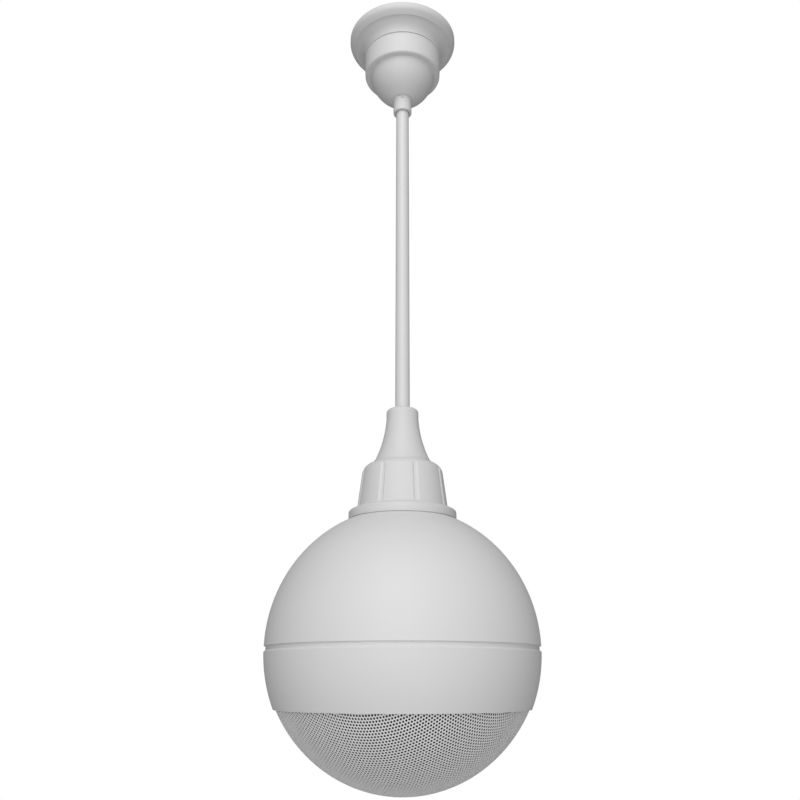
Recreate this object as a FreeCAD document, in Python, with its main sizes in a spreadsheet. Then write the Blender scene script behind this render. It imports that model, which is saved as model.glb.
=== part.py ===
import FreeCAD, Part
import math
import os
import Sketcher

# Pendant ball loudspeaker for a ceiling: a canopy, a rod, a flared neck on a panelled collar,
# and a ball whose lower part is a perforated dome. Millimetres, +Z up.
# The origin is the middle of the ceiling plane, and a drop is a distance below that plane.

DIMENSIONS = [
    ("fit_gap", 0.3, "room between two moulded or curved faces that locate each other"),
    ("thread_gap", 0.1, "room between a thread or shank and its hole"),
    ("overrun", 1.0, "how far a cutting tool passes the piece it cuts"),
    # Ceiling bracket and canopy
    ("plate_radius", 40.0, "outer radius of the pressed ceiling plate"),
    ("plate_gauge", 2.0, "sheet of the pressed plate"),
    ("hat_radius", 24.0, "outer radius of the pressed hat that takes the rod"),
    ("hat_depth", 16.0, "depth of the hat"),
    ("hat_bend", 2.5, "inner bend radius of the pressing"),
    ("ceiling_hole_spacing", 60.0, "distance between the two ceiling screws"),
    ("ceiling_hole_radius", 2.25, "clearance hole for a ceiling screw"),
    ("entry_radius", 4.5, "hole for the building cable"),
    ("entry_offset", 17.0, "entry hole, from the rod's axis"),
    ("canopy_radius", 52.0, "rim of the canopy at the ceiling"),
    ("rim_height", 5.5, "height of the canopy's rim"),
    ("rim_round", 1.5, "rounding of the rim's lower edge"),
    ("under_radius", 45.5, "inner end of the sloping ring below the rim"),
    ("under_drop", 8.8, "drop of that inner end"),
    ("cove_sweep", 13.7, "radius of the hollow cove"),
    ("cove_foot_radius", 36.9, "radius where the cove runs out"),
    ("parting_drop", 22.0, "drop of the joint between base and cup"),
    ("parting_bevel", 0.8, "bevel on both edges of that joint"),
    ("canopy_wall", 2.0, "wall of the canopy mouldings"),
    ("tongue_height", 4.0, "locating tongue of the cup"),
    ("cup_radius", 37.2, "top of the cup"),
    ("cup_foot_radius", 36.3, "foot of the cup's wall"),
    ("cup_wall_height", 23.3, "height of the cup's wall"),
    ("cup_foot_round", 2.0, "rounding of the cup's foot"),
    ("ledge_radius", 31.0, "inner radius of the cup's ledge"),
    ("dome_arc", 37.0, "radius of the dome's section"),
    ("dome_height", 27.7, "height of the dome below the ledge"),
    ("dome_end_radius", 11.0, "flat end of the dome"),
    ("dome_floor", 2.5, "thickness of that end"),
    # Rod collar and rod
    ("rod_radius", 6.0, "outside of the steel rod"),
    ("rod_wall", 1.0, "wall of the rod"),
    ("rod_top_drop", 5.0, "drop of the rod's upper end"),
    ("rod_tail", 1.0, "end of the rod below its last nut"),
    ("collar_radius", 8.7, "outside of the rod collar"),
    ("collar_height", 15.8, "height of the rod collar"),
    ("collar_edge", 1.2, "rounding of its lower edge"),
    ("collar_flare", 0.8, "countersink at its mouth"),
    ("spigot_radius", 7.5, "spigot that centres the cup"),
    ("grub_radius", 1.5, "set screw"),
    ("grub_drop", 2.6, "set screw, below the collar's top"),
    ("grub_slot", 0.6, "width and depth of its slot"),
    ("nut_flats", 18.0, "lock nut across flats"),
    ("nut_height", 6.0, "lock nut height"),
    # Neck cone
    ("neck_top_drop", 388.0, "drop of the neck cone's top"),
    ("neck_top_radius", 13.0, "top of the neck cone"),
    ("neck_top_round", 3.0, "rounding of its top edge"),
    ("neck_straight", 8.5, "straight part at its top"),
    ("neck_height", 46.0, "height of the neck cone"),
    ("neck_flare", 95.0, "radius of its hollow flare"),
    ("neck_foot_radius", 22.8, "foot of the neck cone"),
    ("neck_lip", 2.4, "height of the lip at its foot"),
    ("neck_lip_step", 0.5, "width of the step on that lip"),
    ("neck_wall", 3.4, "wall of the cone at its foot"),
    ("neck_guide", 9.0, "length of the bore that guides it on the rod"),
    ("neck_spigot", 3.0, "spigot into the collar"),
    # Panelled collar
    ("hood_shoulder_radius", 30.9, "panelled collar just below its shoulder"),
    ("hood_shoulder_round", 8.5, "rounding of the shoulder"),
    ("hood_foot_radius", 35.3, "panelled collar above its foot flange"),
    ("hood_panel_end", 35.0, "drop of the panels' lower ends from the collar's top"),
    ("hood_wall", 3.5, "wall of the panelled collar"),
    ("groove_depth", 0.9, "depth of a groove between two panels"),
    ("groove_count", 8.0, "number of those grooves"),
    ("groove_angle", 7.4, "angle that a groove takes"),
    ("groove_turn", 17.5, "angle from the front to the first groove"),
    ("hood_flange_radius", 41.8, "foot flange"),
    ("hood_flange_drop", 37.6, "drop of the flange's upper edge from the collar's top"),
    ("hood_height", 44.325, "drop of the flange's foot from the collar's top"),
    ("hood_flange_round", 1.6, "rounding of that edge"),
    # Ball
    ("ball_radius", 100.0, "outside of the upper shell"),
    ("shell_wall", 3.5, "wall of the shell"),
    ("boss_radius", 14.0, "boss that takes the rod"),
    ("boss_rise", 0.6, "flat land of the boss above the ball"),
    ("boss_depth", 12.5, "bottom of the boss below the ball's top"),
    ("seam_height", 3.1, "height of the groove round the ball"),
    ("seam_depth", 1.3, "depth of that groove"),
    ("skirt_wall", 4.5, "wall of the skirt"),
    ("skirt_height", 6.0, "depth of the skirt inside the band"),
    ("lug_count", 4.0, "bayonet lugs on the skirt"),
    ("lug_angle", 12.0, "angle that a lug takes"),
    ("lug_play", 4.0, "angle by which a lug's pocket is wider"),
    ("lug_rise", 0.9, "height of a lug"),
    ("lug_height", 2.0, "thickness of a lug"),
    # Band
    ("band_proud", 0.1, "how far the band stands out past the ball"),
    ("band_height", 38.4, "height of the band"),
    ("band_edge", 1.0, "bevel of its top edge"),
    ("band_wall", 3.0, "wall of the band"),
    ("band_lip", 8.0, "height of the thick lip that carries the grille"),
    # Grille
    ("lip_width", 2.0, "face of the band's lip seen from below"),
    ("grille_depth", 54.4, "depth of the grille below the band"),
    ("grille_skirt", 1.1, "straight edge of the grille below the band"),
    ("grille_gauge", 1.0, "sheet of the grille"),
    ("grille_pitch", 13.0, "distance between openings"),
    ("grille_hole", 7.0, "diameter of an opening"),
    # Baffle
    ("baffle_rim", 4.0, "radial width of the baffle's rim"),
    ("baffle_drop_in", 6.0, "height of the rim below the baffle plate"),
    ("baffle_plate", 4.0, "thickness of the baffle plate"),
    ("baffle_edge", 7.5, "width of baffle that the driver's flange covers"),
    ("baffle_wall", 2.5, "upstanding wall that the shell's skirt presses on"),
    # Driver
    ("frame_radius", 65.0, "driver frame"),
    ("frame_gauge", 1.2, "sheet of the driver frame"),
    ("gasket_height", 2.0, "driver gasket"),
    ("driver_screw_inset", 4.0, "driver screws from the edge of the frame"),
    ("driver_screw_count", 4.0, "driver screws"),
    ("driver_screw_turn", 45.0, "angle of the first driver screw"),
    ("driver_screw_radius", 2.0, "driver screw"),
    ("driver_screw_length", 9.0, "driver screw below its head"),
    ("screw_head", 1.75, "screw head's radius over its shank's"),
    ("driver_screw_slot", 0.8, "width of a driver screw's slot"),
    ("frame_depth", 30.0, "frame from its flange to the top plate"),
    ("frame_ledge", 22.0, "frame from its flange to the spider ledge"),
    ("frame_flange", 9.0, "width of the frame's flange"),
    ("throat_inset", 5.0, "throat of the frame inside the top plate"),
    ("frame_window", 34.0, "angle of a window in the frame"),
    ("frame_window_count", 6.0, "windows in the frame"),
    ("frame_window_top", 5.5, "window's first edge from the flange"),
    ("frame_window_foot", 17.6, "window's last edge from the flange"),
    ("frame_window_inset", 6.0, "window from the throat"),
    ("top_plate_radius", 36.0, "top plate"),
    ("top_plate_gauge", 5.0, "top plate"),
    ("magnet_radius", 40.0, "ring magnet"),
    ("magnet_bore", 20.0, "hole of the ring magnet"),
    ("magnet_height", 15.0, "ring magnet"),
    ("back_round", 1.0, "rounded edge of the back plate"),
    ("pole_radius", 12.2, "pole piece"),
    ("coil_radius", 13.3, "outside of the voice coil"),
    ("coil_wire", 0.5, "depth of the winding"),
    ("former_wall", 0.2, "paper former"),
    ("air_gap", 0.5, "room each side of the moving coil"),
    ("coil_height", 9.0, "voice coil"),
    ("roll_inset", 0.8, "surround's roll from the frame's flange"),
    ("cone_apex", 20.0, "height of the cone"),
    ("cone_gauge", 0.7, "paper of the cone"),
    ("cone_curve", 90.0, "radius of the cone's curved section"),
    ("cone_collar", 1.4, "edge of the cone glued to the former"),
    ("cap_lift", 0.67, "dust cap's rim in front of the straight line down the cone"),
    ("former_reach", 1.0, "former past the rear of the winding"),
    ("cap_radius", 17.0, "dust cap"),
    ("cap_rise", 5.0, "height of the dust cap"),
    ("surround_seam", 3.0, "flat edge of the surround glued on the cone"),
    ("roll_width", 9.2, "width of the surround's roll"),
    ("roll_radius", 4.9, "radius of the roll"),
    ("surround_gauge", 0.6, "rubber of the surround"),
    ("spider_gap", 1.0, "room round the spider's folds and its rim"),
    ("spider_rim", 5.0, "flat rim of the spider"),
    ("spider_wave", 0.8, "height of a corrugation of the spider"),
    ("spider_folds", 5.0, "corrugations of the spider"),
    ("spider_gauge", 0.5, "cloth of the spider"),
    # Line transformer on its hanger
    ("hanger_gauge", 1.5, "sheet of the hanger"),
    ("hanger_width", 24.0, "width of the hanger"),
    ("hanger_reach", 31.5, "rod's axis to the outside of the hanger"),
    ("hanger_room", 4.9, "room between the hanger's shelf and the magnet"),
    ("hanger_edge", 2.0, "hanger past the lock nut and past the far lug of the strap"),
    ("core_width", 36.0, "transformer laminations"),
    ("core_share", 0.577, "laminations' share of the free height above the shelf"),
    ("core_depth", 13.0, "stack of the laminations"),
    ("core_yoke_share", 0.24, "yoke's share of the laminations' height"),
    ("core_limb", 5.0, "outer limb of the laminations"),
    ("core_window", 6.0, "width of a window in the laminations"),
    ("bobbin_overhang", 5.0, "winding in front of and behind the stack"),
    ("strap_gauge", 1.0, "clamping strap"),
    ("strap_width", 10.0, "width of the clamping strap"),
    ("strap_lug", 8.0, "length of a strap lug"),
    ("strap_screw_radius", 1.5, "screw through a strap lug"),
    ("strap_screw_tail", 3.0, "end of that screw below the shelf"),
    # Terminal block in the canopy
    ("block_width", 20.0, "terminal block"),
    ("block_depth", 9.5, "terminal block"),
    ("block_height", 11.0, "terminal block"),
    ("block_offset", 16.6, "terminal block, from the rod's axis"),
    ("block_wire_radius", 1.6, "wire hole of the terminal block"),
]

doc = FreeCAD.newDocument("PendantSpeaker")
sheet = doc.addObject("Spreadsheet::Sheet", "dims")


def fill_sheet():
    """Write every driving dimension once, with its alias and its meaning."""
    for row, (alias, value, meaning) in enumerate(DIMENSIONS, start=1):
        sheet.set("A%d" % row, alias)
        sheet.set("B%d" % row, str(value))
        sheet.set("C%d" % row, meaning)
        sheet.setAlias("B%d" % row, alias)
    doc.recompute()


def linked(expression):
    """Give an expression in the sheet's words its links to the sheet."""
    words = []
    word = ""
    for character in str(expression) + " ":
        if character.isalnum() or character in "_.":
            word += character
            continue
        words.append("dims." + word if word in ALIASES else word)
        words.append(character)
        word = ""
    return "".join(words).strip()


def value_of(expression):
    """Work an expression out with the sheet's present numbers."""
    result = sheet.evalExpression(linked(expression))
    return float(getattr(result, "Value", result))


def bind(target, prop, expression):
    target.setExpression(prop, linked(expression))


def place(target, z="0", x="0", y="0", angle=0.0, axis=(0, 0, 1)):
    """Set a piece down with its own origin at (x, y, z), turned about an axis."""
    rotation = FreeCAD.Rotation(FreeCAD.Vector(*axis), angle)
    target.Placement = FreeCAD.Placement(FreeCAD.Vector(0, 0, 0), rotation)
    bind(target, "Placement.Base.x", x)
    bind(target, "Placement.Base.y", y)
    bind(target, "Placement.Base.z", z)


def origin_part(body, role):
    for item in body.Origin.OriginFeatures:
        if item.Role == role:
            return item
    raise ValueError(role)


def new_body(name):
    return doc.addObject("PartDesign::Body", name)


def new_sketch(body, name, plane="XZ_Plane", offset=None):
    sketch = body.newObject("Sketcher::SketchObject", name)
    sketch.AttachmentSupport = [(origin_part(body, plane), "")]
    sketch.MapMode = "FlatFace"
    if offset is not None:
        bind(sketch, "AttachmentOffset.Base.z", offset)
    return sketch


def corner(x, z, rounding=None):
    """A corner of a section, sharp or rounded."""
    return {"x": x, "z": z, "rounding": rounding}


def bow(x, z, radius, turn):
    """The end of an arc from the corner before; turn is +1 for an anticlockwise arc."""
    return {"x": x, "z": z, "rounding": None, "radius": radius, "turn": turn}


def point_on_sheet(step):
    return FreeCAD.Vector(value_of(step["x"]), value_of(step["z"]), 0)


def rounding_points(before, at, after, radius):
    """Where a rounding leaves its two lines, and its centre."""
    first = (before - at).normalize()
    second = (after - at).normalize()
    half_angle = first.getAngle(second) / 2
    reach = radius / math.tan(half_angle)
    centre = at + (first + second).normalize() * (radius / math.sin(half_angle))
    return at + first * reach, at + second * reach, centre


def arc_geometry(start, end, centre, turn):
    """An arc, and which of its ends is the start of the way round the section."""
    normal = FreeCAD.Vector(0, 0, 1)
    begin, finish = (start, end) if turn > 0 else (end, start)
    angles = [math.atan2(p.y - centre.y, p.x - centre.x) for p in (begin, finish)]
    if angles[1] <= angles[0]:
        angles[1] += 2 * math.pi
    circle = Part.Circle(centre, normal, (start - centre).Length)
    arc = Part.ArcOfCircle(circle, angles[0], angles[1])
    return arc, ((1, 2) if turn > 0 else (2, 1))


def arc_centre(start, end, radius, turn):
    chord = end - start
    middle = (start + end) * 0.5
    side = FreeCAD.Vector(-chord.y, chord.x, 0).normalize() * turn
    return middle + side * math.sqrt(max(0.0, radius ** 2 - (chord.Length / 2) ** 2))


def pin_point(sketch, geometry, position, step, tag):
    """Tie one point of a sketch to its two expressions."""
    for axis, prop, kind, datum in ((-2, "x", "DistanceX", 0), (-1, "z", "DistanceY", 1)):
        number = value_of(step[prop])
        if step[prop] == "0":
            sketch.addConstraint(Sketcher.Constraint("PointOnObject", geometry, position, axis))
            continue
        index = sketch.addConstraint(
            Sketcher.Constraint(kind, -1, 1, geometry, position, number))
        sketch.renameConstraint(index, "%s_%s" % (tag, prop))
        bind(sketch, "Constraints.%s_%s" % (tag, prop), step[prop])


def draw_section(sketch, steps):
    """Draw a closed outline from corners and bows, every point and radius tied to the sheet."""
    points = [point_on_sheet(step) for step in steps]
    count = len(steps)
    starts = list(points)
    ends = list(points)
    centres = [None] * count
    for i, step in enumerate(steps):
        if step["rounding"]:
            radius = value_of(step["rounding"])
            before, after = points[i - 1], points[(i + 1) % count]
            ends[i], starts[i], centres[i] = rounding_points(before, points[i], after, radius)
    edges = []
    for i in range(count):
        following = (i + 1) % count
        step = steps[following]
        if "radius" in step:
            centre = arc_centre(starts[i], ends[following], value_of(step["radius"]), step["turn"])
            arc, order = arc_geometry(starts[i], ends[following], centre, step["turn"])
            index = sketch.addGeometry(arc, False)
            name = "bow%d" % following
            radius_index = sketch.addConstraint(
                Sketcher.Constraint("Radius", index, value_of(step["radius"])))
            sketch.renameConstraint(radius_index, name)
            bind(sketch, "Constraints." + name, step["radius"])
            edges.append((index, order))
        else:
            index = sketch.addGeometry(Part.LineSegment(starts[i], ends[following]), False)
            edges.append((index, (1, 2)))
    for i, step in enumerate(steps):
        coming, coming_order = edges[i - 1]
        going, going_order = edges[i]
        tag = "corner%d" % i
        if not step["rounding"]:
            sketch.addConstraint(Sketcher.Constraint(
                "Coincident", coming, coming_order[1], going, going_order[0]))
            pin_point(sketch, going, going_order[0], step, tag)
            continue
        cross = (points[i] - points[i - 1]).cross(points[(i + 1) % count] - points[i]).z
        turn = 1 if cross > 0 else -1
        arc, order = arc_geometry(ends[i], starts[i], centres[i], turn)
        rounding = sketch.addGeometry(arc, False)
        sketch.addConstraint(Sketcher.Constraint(
            "Tangent", coming, coming_order[1], rounding, order[0]))
        sketch.addConstraint(Sketcher.Constraint(
            "Tangent", rounding, order[1], going, going_order[0]))
        radius_index = sketch.addConstraint(
            Sketcher.Constraint("Radius", rounding, value_of(step["rounding"])))
        sketch.renameConstraint(radius_index, tag + "_r")
        bind(sketch, "Constraints.%s_r" % tag, step["rounding"])
        mark = sketch.addGeometry(Part.Point(points[i]), True)
        sketch.addConstraint(Sketcher.Constraint("PointOnObject", mark, 1, coming))
        sketch.addConstraint(Sketcher.Constraint("PointOnObject", mark, 1, going))
        pin_point(sketch, mark, 1, step, tag)


def turned(name, steps, z="0"):
    """A turned or round moulded piece: a section swept once round the Z axis."""
    body = new_body(name)
    sketch = new_sketch(body, name + "_section")
    draw_section(sketch, steps)
    feature = body.newObject("PartDesign::Revolution", name + "_turned")
    feature.Profile = sketch
    feature.ReferenceAxis = (sketch, ["V_Axis"])
    feature.Angle = 360.0
    place(body, z)
    return body


def patterned(body, feature, count, name):
    """Repeat a feature round the body's Z axis."""
    pattern = body.newObject("PartDesign::PolarPattern", name)
    pattern.Originals = [feature]
    pattern.Axis = (origin_part(body, "Z_Axis"), [""])
    pattern.Angle = 360.0
    bind(pattern, "Occurrences", count)
    feature.Visibility = False
    body.Tip = pattern
    return pattern


def drilled(body, name, radius, circle, count=None, turn="0"):
    """Round holes along Z through the whole body, at one radius from its axis."""
    sketch = new_sketch(body, name + "_circle", "XY_Plane")
    pins = {"x": "(%s) * cos((%s) * 1 deg)" % (circle, turn),
            "z": "(%s) * sin((%s) * 1 deg)" % (circle, turn)}
    centre = FreeCAD.Vector(value_of(pins["x"]), value_of(pins["z"]), 0)
    hole = sketch.addGeometry(
        Part.Circle(centre, FreeCAD.Vector(0, 0, 1), value_of(radius)), False)
    for prop, kind in (("x", "DistanceX"), ("z", "DistanceY")):
        index = sketch.addConstraint(Sketcher.Constraint(kind, -1, 1, hole, 3, value_of(pins[prop])))
        sketch.renameConstraint(index, "centre_" + prop)
        bind(sketch, "Constraints.centre_" + prop, pins[prop])
    index = sketch.addConstraint(Sketcher.Constraint("Radius", hole, value_of(radius)))
    sketch.renameConstraint(index, "size")
    bind(sketch, "Constraints.size", radius)
    pocket = body.newObject("PartDesign::Pocket", name)
    pocket.Profile = sketch
    pocket.SideType = "Symmetric"
    pocket.Type = "ThroughAll"
    body.Tip = pocket
    if count is None:
        return pocket
    return patterned(body, pocket, count, name + "_ring")


def swept_part_way(body, name, kind, steps, angle, count):
    """Add or cut a section that runs only part of the way round, repeated round the axis."""
    sketch = new_sketch(body, name + "_section")
    draw_section(sketch, steps)
    feature = body.newObject("PartDesign::" + kind, name)
    feature.Profile = sketch
    feature.ReferenceAxis = (sketch, ["V_Axis"])
    feature.Midplane = True
    bind(feature, "Angle", angle)
    body.Tip = feature
    return patterned(body, feature, count, name + "_ring")


def cylinder(name, radius, height, z="0", x="0", y="0", angle=0.0, axis=(0, 0, 1)):
    item = doc.addObject("Part::Cylinder", name)
    bind(item, "Radius", radius)
    bind(item, "Height", height)
    place(item, z, x, y, angle, axis)
    return item


def block(name, width, depth, height, x="0", y="0", z="0"):
    """A box with the middle of its bottom face at (x, y, z)."""
    item = doc.addObject("Part::Box", name)
    bind(item, "Length", width)
    bind(item, "Width", depth)
    bind(item, "Height", height)
    place(item, z, "%s - (%s) / 2" % (x, width), "%s - (%s) / 2" % (y, depth))
    return item


def cut(name, base, tool):
    item = doc.addObject("Part::Cut", name)
    item.Base = base
    item.Tool = tool
    return item


def fused(name, shapes):
    item = doc.addObject("Part::MultiFuse", name)
    item.Shapes = shapes
    item.Refine = True
    return item


def group(name, items):
    """Like pieces that share one node, each still its own solid."""
    item = doc.addObject("Part::Compound", name)
    item.Links = items
    return item


def tube(name, outer, inner, height, z="0"):
    wall = cylinder(name + "_outside", outer, height)
    hollow = cylinder(name + "_bore", inner, height + " + 2 * overrun", "-overrun")
    item = cut(name, wall, hollow)
    place(item, z)
    return item


# Sizes that follow from others
SKIRT_RADIUS = "(ball_radius - shell_wall)"
BAND_RADIUS = "(ball_radius + band_proud)"


def band_outside(drop):
    """Radius of the band's outside at a drop below its top."""
    return "sqrt(%s ^ 2 - (%s + seam_height) ^ 2)" % (BAND_RADIUS, drop)


LIP_DROP = "(band_height - band_lip)"
LIP_INSIDE = "(%s - lip_width)" % band_outside("band_height")
GRILLE_RADIUS = "(%s - fit_gap)" % LIP_INSIDE
DOME_RISE = "(grille_depth - grille_skirt)"
GRILLE_ARC = "((%s ^ 2 + %s ^ 2) / (2 * %s))" % (GRILLE_RADIUS, DOME_RISE, DOME_RISE)
FLANGE_RADIUS = "(%s - band_wall - fit_gap)" % band_outside(LIP_DROP)
PLATE_TOP_DROP = "(band_height - band_lip - grille_gauge - baffle_drop_in - baffle_plate)"
BAFFLE_WALL_RADIUS = "(%s - band_wall - 2 * fit_gap)" % band_outside(PLATE_TOP_DROP)
BAFFLE_HOLE = "(frame_radius - baffle_edge)"
SCREW_CIRCLE = "(frame_radius - driver_screw_inset)"
THROAT = "(top_plate_radius - throat_inset)"
SPIDER_OUTER = "(%s - spider_gap)" % THROAT
ROLL_OUTSIDE = "(frame_radius - frame_flange - roll_inset)"
CONE_EDGE = "(%s - roll_width)" % ROLL_OUTSIDE
GRILLE_CENTRE = "-(band_lip + grille_depth - %s)" % GRILLE_ARC

# Heights that several pieces share
HAT_FLOOR = "-hat_depth"
CUP_TOP = "-parting_drop"
DOME_END = "-(parting_drop + cup_wall_height + dome_height)"
NECK_FOOT = "-(neck_top_drop + neck_height)"
BALL_UNDER_HOOD = "sqrt((ball_radius + fit_gap) ^ 2 - hood_flange_radius ^ 2)"
BALL_DROP = "(neck_top_drop + neck_height + hood_height + %s)" % BALL_UNDER_HOOD
BALL_CENTRE = "-" + BALL_DROP
BALL_TOP_SEAT = "-(%s - ball_radius - boss_rise)" % BALL_DROP
BOSS_FLOOR = "-(%s - ball_radius + boss_depth)" % BALL_DROP
BAND_TOP = "-(%s + seam_height)" % BALL_DROP
GRILLE_SEAT = "-(%s + seam_height + band_height - band_lip)" % BALL_DROP
BAFFLE_FOOT = "-(%s + seam_height + band_height - band_lip - grille_gauge)" % BALL_DROP
BAFFLE_TOP = BAFFLE_FOOT + " + baffle_drop_in + baffle_plate"
DRIVER_FRONT = BAFFLE_TOP
FRAME_FRONT = "gasket_height + surround_gauge"
MAGNET_FOOT = "%s + %s + frame_depth" % (DRIVER_FRONT, FRAME_FRONT)
BACK_TOP = MAGNET_FOOT + " + 2 * top_plate_gauge + magnet_height"
APEX = "%s + %s + cone_apex" % (DRIVER_FRONT, FRAME_FRONT)
HANGER_FLOOR = BACK_TOP + " + hanger_room"
SHELF_TOP = HANGER_FLOOR + " + hanger_gauge"
STRAP_CEILING = BOSS_FLOOR + " - hanger_gauge - nut_height - rod_tail"
CORE_HEIGHT = "(core_share * (%s - (%s) - strap_gauge - thread_gap))" % (STRAP_CEILING, SHELF_TOP)
CORE_YOKE = "(core_yoke_share * %s)" % CORE_HEIGHT


def make_ceiling_plate():
    """Pressed steel plate: a flat brim on the ceiling and a hat that carries the rod."""
    steps = [
        corner("rod_radius + thread_gap", "-hat_depth"),
        corner("hat_radius", "-hat_depth", "hat_bend + plate_gauge"),
        corner("hat_radius", "-plate_gauge", "hat_bend"),
        corner("plate_radius", "-plate_gauge"),
        corner("plate_radius", "0"),
        corner("hat_radius - plate_gauge", "0", "hat_bend + plate_gauge"),
        corner("hat_radius - plate_gauge", "plate_gauge - hat_depth", "hat_bend"),
        corner("rod_radius + thread_gap", "plate_gauge - hat_depth"),
    ]
    body = turned("ceiling_plate", steps)
    drilled(body, "screw_hole", "ceiling_hole_radius", "ceiling_hole_spacing / 2", "2")
    drilled(body, "cable_entry", "entry_radius", "entry_offset", turn="-90")
    return body


def make_canopy_base():
    """Upper half of the canopy: rim, sloping ring and a hollow cove down to the joint."""
    inside = "cup_radius - parting_bevel - canopy_wall"
    steps = [
        corner("canopy_radius", "0"),
        corner("canopy_radius", "-rim_height", "rim_round"),
        corner("under_radius", "-under_drop"),
        bow("cove_foot_radius", "-(parting_drop - parting_bevel)", "cove_sweep", 1),
        corner("cove_foot_radius - parting_bevel", "-parting_drop"),
        corner(inside, "-parting_drop"),
        corner(inside, "-(under_drop + 2 * canopy_wall)"),
        corner("under_radius - canopy_wall", "-(under_drop - canopy_wall)"),
        corner("canopy_radius - canopy_wall", "-(rim_height - canopy_wall)"),
        corner("canopy_radius - canopy_wall", "0"),
    ]
    return turned("canopy_base", steps)


def make_canopy_cup():
    """Lower half of the canopy: a tongue into the base, a short wall, a ledge and a dome."""
    tongue = "cup_radius - parting_bevel - canopy_wall - fit_gap"
    foot = "-(cup_wall_height + dome_height)"
    steps = [
        corner("cup_radius - parting_bevel", "0"),
        corner(tongue, "0"),
        corner(tongue, "tongue_height"),
        corner(tongue + " - canopy_wall", "tongue_height"),
        corner(tongue + " - canopy_wall", "0"),
        corner("cup_radius - canopy_wall", "-canopy_wall"),
        corner("cup_foot_radius - canopy_wall", "canopy_wall - cup_wall_height"),
        corner("ledge_radius - canopy_wall", "canopy_wall - cup_wall_height"),
        corner("ledge_radius - canopy_wall", "-cup_wall_height"),
        bow("dome_end_radius - canopy_wall / 2", foot + " + dome_floor",
            "dome_arc - canopy_wall", -1),
        corner("spigot_radius + fit_gap / 2", foot + " + dome_floor"),
        corner("spigot_radius + fit_gap / 2", foot),
        corner("dome_end_radius", foot),
        bow("ledge_radius", "-cup_wall_height", "dome_arc", 1),
        corner("cup_foot_radius", "-cup_wall_height", "cup_foot_round"),
        corner("cup_radius", "-parting_bevel"),
    ]
    return turned("canopy_cup", steps, CUP_TOP)


def make_rod_collar():
    """Collar that holds the canopy up on the rod, with a threaded hole for its set screw."""
    steps = [
        corner("rod_radius + fit_gap", "dome_floor"),
        corner("rod_radius + fit_gap", "-(collar_height - collar_flare)"),
        corner("rod_radius + fit_gap + collar_flare", "-collar_height"),
        corner("collar_radius", "-collar_height", "collar_edge"),
        corner("collar_radius", "0"),
        corner("spigot_radius", "0"),
        corner("spigot_radius", "dome_floor"),
    ]
    body = turned("rod_collar", steps, DOME_END)
    sketch = new_sketch(body, "grub_circle")
    hole = sketch.addGeometry(Part.Circle(
        FreeCAD.Vector(0, -value_of("grub_drop"), 0), FreeCAD.Vector(0, 0, 1),
        value_of("grub_radius + thread_gap")), False)
    sketch.addConstraint(Sketcher.Constraint("PointOnObject", hole, 3, -2))
    for tag, kind, args, expression in (
            ("drop", "DistanceY", (-1, 1, hole, 3), "-grub_drop"),
            ("size", "Radius", (hole,), "grub_radius + thread_gap")):
        index = sketch.addConstraint(Sketcher.Constraint(kind, *args, value_of(expression)))
        sketch.renameConstraint(index, tag)
        bind(sketch, "Constraints." + tag, expression)
    pocket = body.newObject("PartDesign::Pocket", "grub_hole")
    pocket.Profile = sketch
    pocket.Reversed = True
    bind(pocket, "Length", "collar_radius + overrun")
    body.Tip = pocket
    return body


def make_collar_set_screw():
    """Slotted set screw from the front of the collar to the rod."""
    length = "collar_radius - rod_radius - 2 * thread_gap"
    shank = cylinder("grub_shank", "grub_radius", length)
    slot = block("grub_slot_cut", "2 * (grub_radius + overrun)", "grub_slot",
                 "grub_slot + overrun", z=length + " - grub_slot")
    screw = cut("collar_set_screw", shank, slot)
    place(screw, DOME_END + " - grub_drop", "0", "-(rod_radius + thread_gap)", 90.0, (1, 0, 0))
    return screw


def make_rod():
    """Painted steel tube from the ceiling plate to the inside of the ball."""
    foot = "(%s - ball_radius + boss_depth + hanger_gauge + nut_height + rod_tail)" % BALL_DROP
    return tube("rod", "rod_radius", "rod_radius - rod_wall", foot + " - rod_top_drop",
                "-" + foot)


def make_lock_nuts():
    """Four lock nuts: two clamp the ceiling plate, two clamp the ball and the hanger."""
    seats = [HAT_FLOOR + " + plate_gauge", HAT_FLOOR + " - nut_height", BALL_TOP_SEAT,
             BOSS_FLOOR + " - hanger_gauge - nut_height"]
    nuts = []
    for number, seat in enumerate(seats):
        hexagon = doc.addObject("Part::Prism", "nut_hexagon%d" % number)
        hexagon.Polygon = 6
        bind(hexagon, "Circumradius", "nut_flats / sqrt(3)")
        bind(hexagon, "Height", "nut_height")
        bore = cylinder("nut_bore%d" % number, "rod_radius + thread_gap",
                        "nut_height + 2 * overrun", "-overrun")
        nut = cut("nut%d" % number, hexagon, bore)
        place(nut, seat)
        nuts.append(nut)
    return group("lock_nuts", nuts)


def make_terminal_block():
    """Two-pole terminal block under the ceiling plate."""
    housing = block("terminal_housing", "block_width", "block_depth", "block_height")
    cuts = []
    for side in (-1, 1):
        x = "%d * block_width / 4" % side
        wire = cylinder("wire_hole%d" % (side + 1), "block_wire_radius",
                        "block_depth + 2 * overrun", "block_height / 3", x,
                        "-(block_depth / 2 + overrun)", -90.0, (1, 0, 0))
        screw = cylinder("clamp_hole%d" % (side + 1), "block_wire_radius",
                         "block_height / 3 + overrun", "-overrun", x)
        cuts += [wire, screw]
    item = cut("terminal_block", housing, fused("terminal_cuts", cuts))
    place(item, HAT_FLOOR + " - block_height", "0", "block_offset")
    return item


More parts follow.
